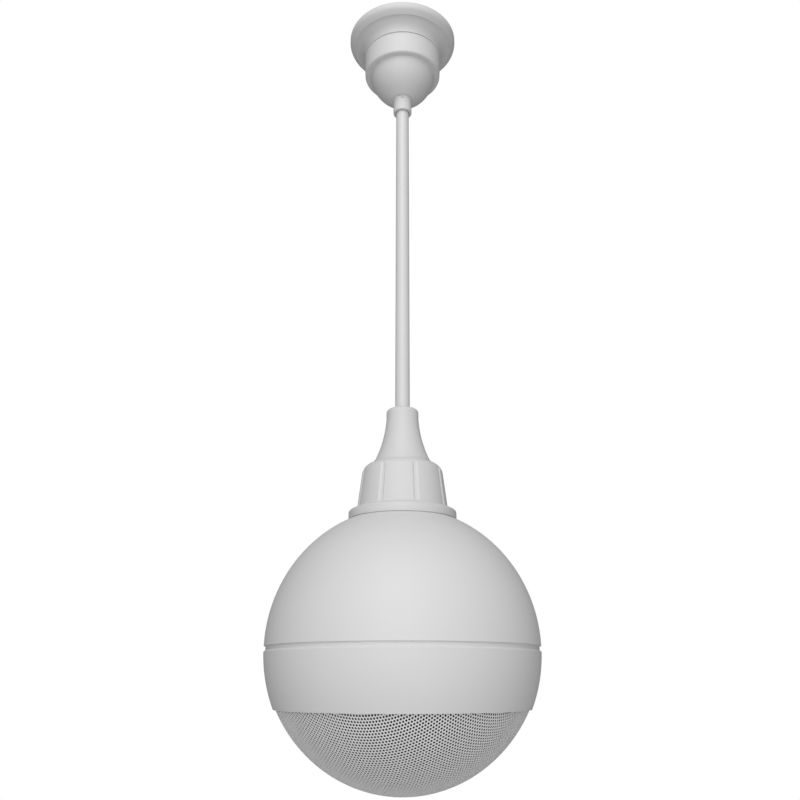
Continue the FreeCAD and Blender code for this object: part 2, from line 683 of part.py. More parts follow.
def make_neck_cone():
    """Flared cone that hides the foot of the rod and rests on the panelled collar."""
    spigot = "neck_foot_radius - neck_wall"
    steps = [
        corner("rod_radius + fit_gap", "neck_height"),
        corner("rod_radius + fit_gap", "neck_height - neck_guide"),
        corner("neck_top_radius - neck_wall", "neck_height - neck_guide - neck_wall"),
        corner(spigot + " - neck_wall / 2", "neck_lip"),
        corner(spigot + " - neck_wall / 2", "-neck_spigot"),
        corner(spigot, "-neck_spigot"),
        corner(spigot, "0"),
        corner("neck_foot_radius", "0"),
        corner("neck_foot_radius", "neck_lip"),
        corner("neck_foot_radius - neck_lip_step", "neck_lip"),
        bow("neck_top_radius", "neck_height - neck_straight", "neck_flare", -1),
        corner("neck_top_radius", "neck_height", "neck_top_round"),
    ]
    return turned("neck_cone", steps, NECK_FOOT)


def ball_height(radius, gap="0"):
    """Height of the ball's surface above its centre plane, at a radius from the axis."""
    return "sqrt((ball_radius + %s) ^ 2 - (%s) ^ 2)" % (gap, radius)


def make_neck_collar():
    """Panelled collar: a domed shoulder, panels parted by grooves and a flange on the ball."""
    centre = "-(hood_height + %s)" % BALL_UNDER_HOOD
    hole = "neck_foot_radius - neck_wall + fit_gap"
    flange_inside = "hood_flange_radius - hood_wall"
    rim = "hood_flange_radius"
    steps = [
        corner(hole, "0"),
        corner(hole, "-hood_wall"),
        corner("hood_shoulder_radius - hood_wall", "-hood_wall", "hood_shoulder_round - hood_wall"),
        corner("hood_foot_radius - hood_wall", "-hood_panel_end"),
        corner(flange_inside, "-(hood_flange_drop + hood_wall / 2)"),
        corner(flange_inside, "%s + %s" % (centre, ball_height(flange_inside, "fit_gap"))),
        bow(rim, "%s + %s" % (centre, ball_height(rim, "fit_gap")), "ball_radius + fit_gap", -1),
        corner(rim, "-hood_flange_drop", "hood_flange_round"),
        corner("hood_foot_radius", "-hood_panel_end"),
        corner("hood_shoulder_radius", "0", "hood_shoulder_round"),
    ]
    body = turned("neck_collar", steps, NECK_FOOT)
    groove = [
        corner("hood_shoulder_radius - groove_depth", "0"),
        corner("hood_foot_radius - groove_depth", "-hood_panel_end"),
        corner("hood_foot_radius + overrun", "-hood_panel_end"),
        corner("hood_foot_radius + overrun", "0"),
    ]
    swept_part_way(body, "groove", "Groove", groove, "groove_angle", "groove_count")
    place(body, NECK_FOOT, angle=value_of("groove_turn") - 90.0)
    return body


def make_upper_shell():
    """Upper half of the ball, with the boss for the rod and a skirt with bayonet lugs."""
    inner = "(ball_radius - shell_wall)"
    inside_skirt = SKIRT_RADIUS + " - skirt_wall"
    floor = "-(seam_height + skirt_height)"
    steps = [
        corner("rod_radius + fit_gap", "ball_radius - boss_depth"),
        corner("boss_radius", "ball_radius - boss_depth"),
        corner("boss_radius", "sqrt(%s ^ 2 - boss_radius ^ 2)" % inner),
        bow(inside_skirt, "sqrt(%s ^ 2 - (%s) ^ 2)" % (inner, inside_skirt), inner, -1),
        corner(inside_skirt, floor),
        corner(SKIRT_RADIUS, floor),
        corner(SKIRT_RADIUS, "-seam_height"),
        corner("ball_radius - seam_depth", "-seam_height"),
        corner("ball_radius - seam_depth", "0"),
        corner("ball_radius", "0"),
        bow("boss_radius", ball_height("boss_radius"), "ball_radius", 1),
        corner("boss_radius", "ball_radius + boss_rise"),
        corner("rod_radius + fit_gap", "ball_radius + boss_rise"),
    ]
    body = turned("upper_shell", steps, BALL_CENTRE)
    lug = [
        corner(SKIRT_RADIUS + " - skirt_wall / 2", floor),
        corner(SKIRT_RADIUS + " + lug_rise", floor),
        corner(SKIRT_RADIUS + " + lug_rise", floor + " + lug_height"),
        corner(SKIRT_RADIUS + " - skirt_wall / 2", floor + " + lug_height"),
    ]
    swept_part_way(body, "lug", "Revolution", lug, "lug_angle", "lug_count")
    return body


def make_lower_band():
    """Lower band of the ball, with the seat of the grille and pockets for the bayonet lugs."""
    pocket_floor = "skirt_height + fit_gap"
    steps = [
        corner(band_outside("band_edge") + " - band_edge", "0"),
        corner(SKIRT_RADIUS + " + fit_gap", "0"),
        corner(SKIRT_RADIUS + " + fit_gap", "-(%s + lug_height)" % pocket_floor),
        bow(band_outside(LIP_DROP) + " - band_wall", "-" + LIP_DROP,
            BAND_RADIUS + " - band_wall", -1),
        corner(LIP_INSIDE, "-" + LIP_DROP),
        corner(LIP_INSIDE, "-band_height"),
        corner(band_outside("band_height"), "-band_height"),
        bow(band_outside("band_edge"), "-band_edge", BAND_RADIUS, 1),
    ]
    body = turned("lower_band", steps, BAND_TOP)
    pocket = [
        corner(SKIRT_RADIUS + " - skirt_wall", "-(%s)" % pocket_floor),
        corner(SKIRT_RADIUS + " - skirt_wall", "-(skirt_height - lug_height - fit_gap)"),
        corner(SKIRT_RADIUS + " + lug_rise + fit_gap", "-(skirt_height - lug_height - fit_gap)"),
        corner(SKIRT_RADIUS + " + lug_rise + fit_gap", "-(%s)" % pocket_floor),
    ]
    swept_part_way(body, "lug_pocket", "Groove", pocket, "lug_angle + lug_play", "lug_count")
    return body


def grille_section():
    """Flange, short skirt and dome of the grille, from the seat down to its lowest point."""
    inner_radius = GRILLE_RADIUS + " - grille_gauge"
    edge = "-(band_lip + grille_skirt)"
    inner_edge = "%s - sqrt((%s - grille_gauge) ^ 2 - (%s) ^ 2)" % (
        GRILLE_CENTRE, GRILLE_ARC, inner_radius)
    return [
        corner("0", "-(band_lip + grille_depth)"),
        bow(GRILLE_RADIUS, edge, GRILLE_ARC, 1),
        corner(GRILLE_RADIUS, "0"),
        corner(FLANGE_RADIUS, "0"),
        corner(FLANGE_RADIUS, "grille_gauge"),
        corner(inner_radius, "grille_gauge"),
        corner(inner_radius, inner_edge),
        bow("0", "grille_gauge - (band_lip + grille_depth)", GRILLE_ARC + " - grille_gauge", -1),
    ]


def grille_openings():
    """Pins square to the dome, in rings that keep one pitch along and across."""
    arc = value_of(GRILLE_ARC)
    pitch = value_of("grille_pitch")
    radius = value_of("grille_hole / 2")
    gauge = value_of("grille_gauge")
    centre = value_of(GRILLE_CENTRE)
    edge_angle = math.asin(value_of("%s / %s" % (GRILLE_RADIUS, GRILLE_ARC)))
    rings = int((edge_angle * arc - radius - gauge) / pitch)
    pins = []
    for ring in range(rings + 1):
        slope = ring * pitch / arc
        count = max(1, round(2 * math.pi * arc * math.sin(slope) / pitch))
        for place_in_ring in range(count):
            turn = 2 * math.pi * (place_in_ring + 0.5 * (ring % 2)) / count
            way = FreeCAD.Vector(math.sin(slope) * math.cos(turn),
                                 math.sin(slope) * math.sin(turn), -math.cos(slope))
            start = FreeCAD.Vector(0, 0, centre) + way * (arc - 3 * gauge)
            pins.append(Part.makeCylinder(radius, 5 * gauge, start, way))
    feature = doc.addObject("Part::Feature", "grille_openings")
    feature.Shape = Part.makeCompound(pins)
    return feature


def make_grille():
    """Perforated steel dome."""
    dome = turned("grille_dome", grille_section())
    item = cut("grille", dome, grille_openings())
    place(item, GRILLE_SEAT)
    return item


def make_baffle():
    """Dish that carries the driver; the shell's skirt presses it down on the grille's flange."""
    outer = FLANGE_RADIUS
    top = "baffle_drop_in + baffle_plate"
    rim_top = "band_height - band_lip - grille_gauge - skirt_height"
    steps = [
        corner(outer, "0"),
        corner(outer, "baffle_drop_in"),
        corner(BAFFLE_WALL_RADIUS, top),
        corner(BAFFLE_WALL_RADIUS, rim_top),
        corner(BAFFLE_WALL_RADIUS + " - baffle_wall", rim_top),
        corner(BAFFLE_WALL_RADIUS + " - baffle_wall", top),
        corner(BAFFLE_HOLE, top),
        corner(BAFFLE_HOLE, "baffle_drop_in"),
        corner(outer + " - baffle_rim", "baffle_drop_in"),
        corner(outer + " - baffle_rim", "0"),
    ]
    body = turned("baffle", steps, BAFFLE_FOOT)
    drilled(body, "driver_pilot", "driver_screw_radius + thread_gap", SCREW_CIRCLE,
            "driver_screw_count", turn="driver_screw_turn")
    return body


def make_driver_gasket():
    """Ring of soft rubber between the driver's flange and the baffle."""
    steps = [
        corner(BAFFLE_HOLE, "0"),
        corner("frame_radius", "0"),
        corner("frame_radius", "gasket_height"),
        corner(BAFFLE_HOLE, "gasket_height"),
    ]
    body = turned("driver_gasket", steps, DRIVER_FRONT)
    drilled(body, "gasket_hole", "driver_screw_radius + thread_gap", SCREW_CIRCLE,
            "driver_screw_count", turn="driver_screw_turn")
    return body


def make_driver_frame():
    """Pressed frame: flange, open cone with windows, spider ledge and magnet seat."""
    sheet_step = "frame_gauge"
    shoulder = "frame_radius - frame_flange"
    ledge = SPIDER_OUTER + " + spider_rim + spider_gap"
    steps = [
        corner("frame_radius", "0"),
        corner("frame_radius", sheet_step),
        corner(shoulder + " + frame_gauge", sheet_step),
        corner(ledge + " + frame_gauge", "frame_ledge + frame_gauge"),
        corner(THROAT + " + frame_gauge", "frame_ledge + frame_gauge"),
        corner(THROAT + " + frame_gauge", "frame_depth"),
        corner("coil_radius + 2 * air_gap", "frame_depth"),
        corner("coil_radius + 2 * air_gap", "frame_depth - frame_gauge"),
        corner(THROAT, "frame_depth - frame_gauge"),
        corner(THROAT, "frame_ledge"),
        corner(ledge, "frame_ledge"),
        corner(shoulder, "0"),
    ]
    body = turned("driver_frame", steps, "%s + %s" % (DRIVER_FRONT, FRAME_FRONT))
    drilled(body, "frame_hole", "driver_screw_radius + thread_gap", SCREW_CIRCLE,
            "driver_screw_count", turn="driver_screw_turn")
    window = [
        corner(THROAT + " + frame_window_inset", "frame_window_top"),
        corner("frame_radius", "frame_window_top"),
        corner("frame_radius", "frame_window_foot"),
        corner(THROAT + " + frame_window_inset", "frame_window_foot"),
    ]
    swept_part_way(body, "window", "Groove", window, "frame_window", "frame_window_count")
    return body


def make_magnet_system():
    """Top plate, ring magnet and back plate with its pole."""
    top_plate = tube("top_plate", "top_plate_radius", "coil_radius + air_gap",
                     "top_plate_gauge", MAGNET_FOOT)
    magnet = tube("ring_magnet", "magnet_radius", "magnet_bore", "magnet_height",
                  MAGNET_FOOT + " + top_plate_gauge")
    back = [
        corner("0", "top_plate_gauge"),
        corner("top_plate_radius", "top_plate_gauge", "back_round"),
        corner("top_plate_radius", "0"),
        corner("pole_radius", "0"),
        corner("pole_radius", "-(magnet_height + top_plate_gauge)"),
        corner("0", "-(magnet_height + top_plate_gauge)"),
    ]
    back_plate = turned("back_plate", back,
                        MAGNET_FOOT + " + top_plate_gauge + magnet_height")
    return [top_plate, magnet, back_plate]


def make_moving_parts():
    """Paper cone, dust cap, former and voice coil: what travels together."""
    former_outside = "coil_radius - coil_wire"
    cone = [
        corner(former_outside, "0"),
        corner(former_outside, "cone_collar"),
        bow(CONE_EDGE, "surround_gauge + cone_gauge - cone_apex", "cone_curve", 1),
        corner(CONE_EDGE, "surround_gauge - cone_apex"),
        bow(former_outside + " + cone_gauge", "0", "cone_curve", -1),
    ]
    cone_body = turned("paper_cone", cone, APEX)
    rise = "(cap_radius ^ 2 + cap_rise ^ 2) / (2 * cap_rise)"
    cap = [
        corner("0", "-cap_rise"),
        bow("cap_radius", "0", rise, 1),
        corner("cap_radius - cone_gauge", "0"),
        bow("0", "cone_gauge - cap_rise", rise + " - cone_gauge", -1),
    ]
    slope = "cone_apex / (%s - (%s))" % (CONE_EDGE, former_outside)
    cap_seat = "(cap_lift + %s * (cap_radius - (%s)))" % (slope, former_outside)
    cap_body = turned("dust_cap", cap, APEX + " - " + cap_seat)
    coil_foot = "%s + frame_depth + (top_plate_gauge - coil_height) / 2" % FRAME_FRONT
    former = tube("coil_former", former_outside, former_outside + " - former_wall",
                  "frame_depth + (top_plate_gauge + coil_height) / 2 - cone_apex + former_reach",
                  APEX)
    coil = tube("voice_coil", "coil_radius", former_outside, "coil_height",
                "%s + %s" % (DRIVER_FRONT, coil_foot))
    return [cone_body, cap_body, former, coil]


def make_surround():
    """Half roll of rubber between the cone and the frame."""
    outer_end = ROLL_OUTSIDE
    rim = SCREW_CIRCLE + " - driver_screw_radius - fit_gap"
    steps = [
        corner(CONE_EDGE + " - surround_seam", "0"),
        corner(CONE_EDGE, "0"),
        bow(outer_end, "0", "roll_radius", 1),
        corner(rim, "0"),
        corner(rim, "surround_gauge"),
        corner(outer_end + " - surround_gauge", "surround_gauge"),
        corner(outer_end + " - surround_gauge", "0"),
        bow(CONE_EDGE + " + surround_gauge", "0", "roll_radius - surround_gauge", -1),
        corner(CONE_EDGE + " + surround_gauge", "surround_gauge"),
        corner(CONE_EDGE + " - surround_seam", "surround_gauge"),
    ]
    return turned("surround", steps, DRIVER_FRONT + " + gasket_height")


def make_spider():
    """Corrugated cloth ring that centres the coil."""
    inner = "coil_radius - coil_wire"
    folds = int(value_of("spider_folds"))
    wave = "((%s - coil_radius) / (spider_folds + 1))" % SPIDER_OUTER
    crests = []
    for number in range(1, folds + 1):
        lift = "spider_wave" if number % 2 else "-spider_wave"
        crests.append(("%s + %d * %s" % (inner, number, wave), lift))
    steps = [corner(inner, "0")]
    steps += [corner(radius, lift) for radius, lift in crests]
    steps += [
        corner(SPIDER_OUTER, "0"),
        corner(SPIDER_OUTER + " + spider_rim", "0"),
        corner(SPIDER_OUTER + " + spider_rim", "spider_gauge"),
        corner(SPIDER_OUTER, "spider_gauge"),
    ]
    steps += [corner(radius, lift + " + spider_gauge") for radius, lift in reversed(crests)]
    steps.append(corner(inner, "spider_gauge"))
    return turned("spider", steps,
                  "%s + %s + frame_ledge - spider_gauge" % (DRIVER_FRONT, FRAME_FRONT))


def make_driver_screws():
    """Screws through the frame and the gasket into the baffle."""
    screws = []
    count = int(value_of("driver_screw_count"))
    for number in range(count):
        angle = "(driver_screw_turn + %d * 360 / driver_screw_count) * 1 deg" % number
        shank = cylinder("shank%d" % number, "driver_screw_radius",
                         "driver_screw_length + driver_screw_radius / 2", "-driver_screw_length")
        head = cylinder("head%d" % number, "screw_head * driver_screw_radius",
                        "driver_screw_radius")
        drive = block("drive%d" % number, "2 * (screw_head * driver_screw_radius + overrun)",
                      "driver_screw_slot", "driver_screw_radius",
                      z="driver_screw_radius / 2")
        screw = cut("driver_screw%d" % number, fused("blank%d" % number, [shank, head]), drive)
        place(screw, "%s + %s + frame_gauge" % (DRIVER_FRONT, FRAME_FRONT),
              "%s * cos(%s)" % (SCREW_CIRCLE, angle), "%s * sin(%s)" % (SCREW_CIRCLE, angle))
        screws.append(screw)
    return group("driver_screws", screws)


def make_hanger():
    """Bent strip clamped under the boss by the lower nut, with a shelf for the transformer."""
    tab = "(nut_flats / sqrt(3) + hanger_edge / 2)"
    far = "(core_width / 2 + strap_lug + hanger_edge)"
    web = block("hanger_web", "hanger_reach + " + tab, "hanger_width", "hanger_gauge",
                "(hanger_reach - %s) / 2" % tab, "0", BOSS_FLOOR + " - hanger_gauge")
    arm = block("hanger_arm", "hanger_gauge", "hanger_width",
                "%s - (%s)" % (BOSS_FLOOR, HANGER_FLOOR),
                "hanger_reach - hanger_gauge / 2", "0", HANGER_FLOOR)
    shelf = block("hanger_shelf", "hanger_reach + " + far, "hanger_width", "hanger_gauge",
                  "(hanger_reach - %s) / 2" % far, "0", HANGER_FLOOR)
    strip = fused("hanger_strip", [web, arm, shelf])
    deep = "hanger_gauge + 2 * overrun"
    holes = [cylinder("hanger_rod_hole", "rod_radius + thread_gap", deep,
                      BOSS_FLOOR + " - hanger_gauge - overrun")]
    for side in (-1, 1):
        holes.append(cylinder("hanger_screw_hole%d" % (side + 1),
                              "strap_screw_radius + thread_gap", deep,
                              HANGER_FLOOR + " - overrun",
                              "%d * (core_width + strap_lug) / 2" % side))
    return cut("transformer_hanger", strip, fused("hanger_holes", holes))


def make_transformer():
    """Line transformer: laminated core, wound bobbin and the strap that clamps it down."""
    stack = block("core_stack", "core_width", "core_depth", CORE_HEIGHT)
    windows = []
    limb = "(core_width - 2 * core_limb - 2 * core_window)"
    for side in (-1, 1):
        windows.append(block("core_window%d" % (side + 1), "core_window",
                             "core_depth + 2 * overrun",
                             "%s - 2 * %s" % (CORE_HEIGHT, CORE_YOKE),
                             "%d * (%s + core_window) / 2" % (side, limb), "0", CORE_YOKE))
    core = cut("transformer_core", stack, fused("core_windows", windows))
    place(core, SHELF_TOP)
    spool = block("spool", limb + " + 2 * core_window - fit_gap",
                  "core_depth + 2 * bobbin_overhang",
                  "%s - 2 * %s - fit_gap" % (CORE_HEIGHT, CORE_YOKE), "0", "0",
                  CORE_YOKE + " + fit_gap / 2")
    leg = block("spool_hole", limb + " + fit_gap", "core_depth + 2 * fit_gap", CORE_HEIGHT)
    winding = cut("transformer_bobbin", spool, leg)
    place(winding, SHELF_TOP)
    outer = block("strap_outer", "core_width + 2 * strap_gauge + 2 * thread_gap", "strap_width",
                  CORE_HEIGHT + " + strap_gauge + thread_gap")
    inner = block("strap_inner", "core_width + 2 * thread_gap", "strap_width + 2 * overrun",
                  CORE_HEIGHT + " + thread_gap")
    lugs = block("strap_lugs", "core_width + 2 * strap_lug", "strap_width", "strap_gauge")
    bow_piece = cut("strap_bow", fused("strap_blank", [outer, lugs]), inner)
    holes = []
    for side in (-1, 1):
        holes.append(cylinder("strap_hole%d" % (side + 1), "strap_screw_radius + thread_gap",
                              "strap_gauge + 2 * overrun", "-overrun",
                              "%d * (core_width + strap_lug) / 2" % side))
    strap = cut("transformer_strap", bow_piece, fused("strap_holes", holes))
    place(strap, SHELF_TOP)
    return [core, winding, strap]


def make_transformer_screws():
    """Two screws through the strap's lugs and the shelf."""
    screws = []
    for side in (-1, 1):
        length = "strap_gauge + hanger_gauge + strap_screw_tail"
        shank = cylinder("strap_shank%d" % (side + 1), "strap_screw_radius",
                         length + " + strap_screw_radius / 2", "-(%s)" % length)
        head = cylinder("strap_head%d" % (side + 1), "screw_head * strap_screw_radius",
                        "strap_screw_radius")
        screw = fused("strap_screw%d" % (side + 1), [shank, head])
        place(screw, SHELF_TOP + " + strap_gauge", "%d * (core_width + strap_lug) / 2" % side)
        screws.append(screw)
    return group("transformer_screws", screws)


def check_document():
    """Stop at any feature that failed."""
    for item in doc.Objects:
        if "Invalid" in item.State or "Error" in item.State:
            raise RuntimeError("%s failed: %s" % (item.Label, item.State))


def write_pieces(pieces):
    os.makedirs("parts", exist_ok=True)
    for piece in pieces:
        shape = piece.Shape
        if shape.isNull() or not shape.isValid() or not shape.Solids:
            raise RuntimeError("%s has no valid solid" % piece.Label)
    for piece in pieces:
        piece.Shape.exportStep("parts/%s.step" % piece.Label)
        print("%-22s %2d solid(s) %12.1f mm3" % (
            piece.Label, len(piece.Shape.Solids), piece.Shape.Volume))


ALIASES = {alias for alias, _, _ in DIMENSIONS}
fill_sheet()
pieces = [
    make_ceiling_plate(),
    make_canopy_base(),
    make_canopy_cup(),
    make_rod_collar(),
    make_collar_set_screw(),
    make_rod(),
    make_lock_nuts(),
    make_terminal_block(),
    make_neck_cone(),
    make_neck_collar(),
    make_upper_shell(),
    make_lower_band(),
    make_grille(),
    make_baffle(),
    make_driver_gasket(),
    make_driver_frame(),
    *make_magnet_system(),
    *make_moving_parts(),
    make_surround(),
    make_spider(),
    make_driver_screws(),
    make_hanger(),
    *make_transformer(),
    make_transformer_screws(),
]
doc.recompute()
check_document()
write_pieces(pieces)
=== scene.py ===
import math

import bmesh
import bpy
from mathutils import Matrix, Vector


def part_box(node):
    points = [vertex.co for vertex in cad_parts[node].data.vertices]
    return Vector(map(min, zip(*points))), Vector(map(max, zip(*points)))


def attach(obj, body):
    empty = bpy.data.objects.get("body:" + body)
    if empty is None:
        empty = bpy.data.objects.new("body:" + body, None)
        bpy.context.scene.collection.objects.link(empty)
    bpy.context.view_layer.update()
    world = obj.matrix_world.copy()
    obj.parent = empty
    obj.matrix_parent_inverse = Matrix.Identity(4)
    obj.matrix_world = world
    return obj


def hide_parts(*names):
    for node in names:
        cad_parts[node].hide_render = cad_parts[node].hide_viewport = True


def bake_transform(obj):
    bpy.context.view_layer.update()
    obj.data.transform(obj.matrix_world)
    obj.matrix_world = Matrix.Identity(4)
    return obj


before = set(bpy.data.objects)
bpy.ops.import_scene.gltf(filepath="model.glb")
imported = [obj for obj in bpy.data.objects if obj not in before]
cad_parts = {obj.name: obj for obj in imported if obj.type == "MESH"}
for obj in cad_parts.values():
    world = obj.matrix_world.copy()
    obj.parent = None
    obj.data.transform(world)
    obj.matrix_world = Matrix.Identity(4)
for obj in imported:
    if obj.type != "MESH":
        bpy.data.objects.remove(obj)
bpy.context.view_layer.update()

# Photographer's side.
# A camera level with the ball's lower band looks up along the rod, as in the photograph.
EYE_DISTANCE = 0.6134
EYE_DROP = 0.592
EYE_TILT = math.radians(22.41)

camera_data = bpy.data.cameras.new("camera")
camera_data.sensor_width = 36.0
camera_data.lens = 35.5
camera_data.shift_x = -0.0031
camera_data.shift_y = -0.0565
camera_data.clip_start = 0.01
camera_data.clip_end = 50.0
camera = bpy.data.objects.new("camera", camera_data)
camera.location = (0.0, -EYE_DISTANCE, -EYE_DROP)
camera.rotation_euler = (math.pi / 2 + EYE_TILT, 0.0, 0.0)
bpy.context.collection.objects.link(camera)
bpy.context.scene.camera = camera
bpy.context.scene.view_settings.view_transform = "Standard"


# Studio.
# A large soft lamp high in front, a nearer one level with the ball, a weak one low down that
# reaches the dome of the grille, an even pale room, and a pale floor far below.
def area_lamp(name, location, target, size, power):
    data = bpy.data.lights.new(name, "AREA")
    data.shape = "SQUARE"
    data.size = size
    data.energy = power
    lamp = bpy.data.objects.new(name, data)
    lamp.location = location
    aim = Vector(target) - Vector(location)
    lamp.rotation_euler = aim.to_track_quat("-Z", "Y").to_euler()
    bpy.context.collection.objects.link(lamp)


area_lamp("high_lamp", (-0.10, -1.30, 0.90), (0.0, 0.0, -0.45), 1.2, 13.6)
area_lamp("near_lamp", (-0.10, -1.20, -0.30), (0.0, 0.0, -0.55), 0.9, 4.5)
area_lamp("low_lamp", (0.15, -1.20, -1.30), (0.0, 0.0, -0.60), 0.9, 2.8)

ROOM_LIGHT = 0.24
world = bpy.data.worlds.new("room")
bpy.context.scene.world = world
world.use_nodes = True
room = world.node_tree
room.nodes.clear()
room_path = room.nodes.new("ShaderNodeLightPath")
seen = room.nodes.new("ShaderNodeMath")
seen.operation = "MAXIMUM"
room.links.new(room_path.outputs["Is Camera Ray"], seen.inputs[0])
room.links.new(room_path.outputs["Is Transmission Ray"], seen.inputs[1])
room_mix = room.nodes.new("ShaderNodeMixShader")
room.links.new(seen.outputs[0], room_mix.inputs[0])
for entry, strength in ((1, ROOM_LIGHT), (2, 1.0)):
    room_side = room.nodes.new("ShaderNodeBackground")
    room_side.inputs["Color"].default_value = (1.0, 1.0, 1.0, 1.0)
    room_side.inputs["Strength"].default_value = strength
    room.links.new(room_side.outputs[0], room_mix.inputs[entry])
room_out = room.nodes.new("ShaderNodeOutputWorld")
room.links.new(room_mix.outputs[0], room_out.inputs["Surface"])


# Materials are mixed with two classes. A Wire is one socket that can be used in sums,
# and a Finish is one material under way.
class Wire:
    def __init__(self, finish, socket):
        self.finish = finish
        self.socket = socket

    def sum_with(self, operation, first, second):
        return self.finish.node("ShaderNodeMath", {"operation": operation}, {0: first, 1: second})

    def __add__(self, other):
        return self.sum_with("ADD", self, other)

    def __radd__(self, other):
        return self.sum_with("ADD", other, self)

    def __sub__(self, other):
        return self.sum_with("SUBTRACT", self, other)

    def __rsub__(self, other):
        return self.sum_with("SUBTRACT", other, self)

    def __mul__(self, other):
        return self.sum_with("MULTIPLY", self, other)

    def __rmul__(self, other):
        return self.sum_with("MULTIPLY", other, self)


class Finish:
    def __init__(self, name, roughness=0.5, metallic=0.0, specular=0.5):
        self.material = bpy.data.materials.new(name)
        self.material.use_nodes = True
        self.tree = self.material.node_tree
        self.shader = self.tree.nodes["Principled BSDF"]
        self.set("Roughness", roughness)
        self.set("Metallic", metallic)
        self.set("Specular IOR Level", specular)

    def connect(self, socket, value):
        if isinstance(value, Wire):
            self.tree.links.new(value.socket, socket)
        elif socket.type == "RGBA":
            socket.default_value = (*value, 1.0)
        else:
            socket.default_value = value

    def node(self, kind, settings=None, inputs=None, output=0):
        made = self.tree.nodes.new(kind)
        for name, value in (settings or {}).items():
            setattr(made, name, value)
        for key, value in (inputs or {}).items():
            self.connect(made.inputs[key], value)
        return Wire(self, made.outputs[output])

    def set(self, name, value):
        self.connect(self.shader.inputs[name], value)

    def place(self, stretch=(1.0, 1.0, 1.0)):
        """The point on the piece, in metres, with the pattern stretched by a factor each way."""
        point = self.node("ShaderNodeTexCoord", output="Object")
        return self.node("ShaderNodeMapping", {"vector_type": "POINT"},
                         {"Vector": point, "Scale": stretch})

    def noise(self, scale, detail=2.0, stretch=(1.0, 1.0, 1.0)):
        """Cloudy noise from 0 to 1; scale is in cells a metre."""
        return self.node("ShaderNodeTexNoise", {}, {
            "Vector": self.place(stretch), "Scale": scale, "Detail": detail}, "Fac")

    def stripes(self, way, spacing, distortion=0.0):
        """Stripes from 0 to 1 across one axis; the spacing is in metres."""
        return self.node("ShaderNodeTexWave", {"wave_type": "BANDS", "bands_direction": way}, {
            "Vector": self.place(), "Scale": math.pi / (10 * spacing),
            "Distortion": distortion}, "Fac")

    def blend(self, factor, low, high):
        """A colour between two, by a factor from 0 to 1."""
        return self.node("ShaderNodeMix", {"data_type": "RGBA"},
                         {"Factor": factor, 6: low, 7: high}, 2)

    def bump(self, height, depth, strength=1.0):
        """Relief from a height of 0 to 1, with its depth in metres."""
        self.set("Normal", self.node("ShaderNodeBump", {}, {
            "Height": height, "Distance": depth, "Strength": strength}))

    def paint(self, *names):
        """Give the finish to nodes of the frame."""
        for name in names:
            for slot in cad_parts[name].material_slots:
                slot.material = self.material


def shade(grey):
    return (grey, grey, grey)


def save_piece(mesh, name, finish, slot, *nodes, sharp=math.radians(32.0)):
    """Make a finished mesh an object. With a slot it rides on the housing, in place of nodes."""
    for edge in mesh.edges:
        edge.smooth = len(edge.link_faces) == 2 and edge.calc_face_angle() < sharp
    for face in mesh.faces:
        face.smooth = True
    data = bpy.data.meshes.new(name)
    mesh.to_mesh(data)
    mesh.free()
    data.materials.append(finish.material)
    piece = bpy.data.objects.new(name, data)
    bpy.context.collection.objects.link(piece)
    if slot:
        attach(piece, "housing")
    if nodes:
        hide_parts(*nodes)
    return piece


# Floor.
# Painted board a metre below the ball, which throws a little light up at the undersides.
FLOOR_DROP = 1.75
floor_mesh = bmesh.new()
bmesh.ops.create_circle(floor_mesh, cap_ends=True, segments=128, radius=5.0,
                        matrix=Matrix.Translation((0.0, 0.0, -FLOOR_DROP)))
floor_finish = Finish("floor_paint", roughness=0.8)
floor_finish.set("Base Color", shade(0.86))
floor = save_piece(floor_mesh, "floor", floor_finish, None)


# Ceiling plate.
# Deep-drawn from 2 mm sheet and zinc-plated: its brim is screwed to the ceiling and its hat
# carries the rod. The plating is mottled, with fine draw marks that run round the hat.
def zinc(name, grey=0.60):
    finish = Finish(name, metallic=1.0)
    cloud = finish.noise(420.0, 4.0)
    spangle = finish.node("ShaderNodeTexVoronoi", {"feature": "F1"}, {
        "Vector": finish.place(), "Scale": 330.0}, "Distance")
    tone = cloud * 0.7 + spangle * 0.3
    finish.set("Base Color", finish.blend(tone, (grey - 0.09, grey - 0.08, grey - 0.06),
                                          (grey + 0.06, grey + 0.06, grey + 0.07)))
    finish.set("Roughness", 0.27 + 0.26 * cloud)
    scratch = finish.noise(900.0, 3.0, (1.0, 1.0, 12.0))
    finish.bump(scratch * 0.6 + spangle * 0.4, 0.00002, 0.6)
    return finish


zinc_plate = zinc("zinc_plate")
zinc_plate.paint("ceiling_plate")


# Lock nuts.
# Four thin hexagon nuts, 18 mm across the flats, with both faces chamfered. Two clamp the hat
# of the ceiling plate and two clamp the ball and the transformer's hanger.
NUT_SEATS = (-0.014, -0.022, -0.4689, -0.4895)
NUT_HEIGHT = 0.006
NUT_BORE = 0.0061
NUT_FLAT = 0.009
NUT_FACE = 0.0086
CHAMFER_SLOPE = math.tan(math.radians(30.0))
NUT_COLUMNS = 72
FULL_TURN = 2 * math.pi
NEAR = 1e-6


def draw_section(mesh, corners, closed=True):
    """Add a section as a wire; a corner is a radius and a height."""
    verts = [mesh.verts.new((radius, 0.0, height)) for radius, height in corners]
    for first, second in zip(verts, verts[1:] + verts[:1] if closed else verts[1:]):
        mesh.edges.new((first, second))


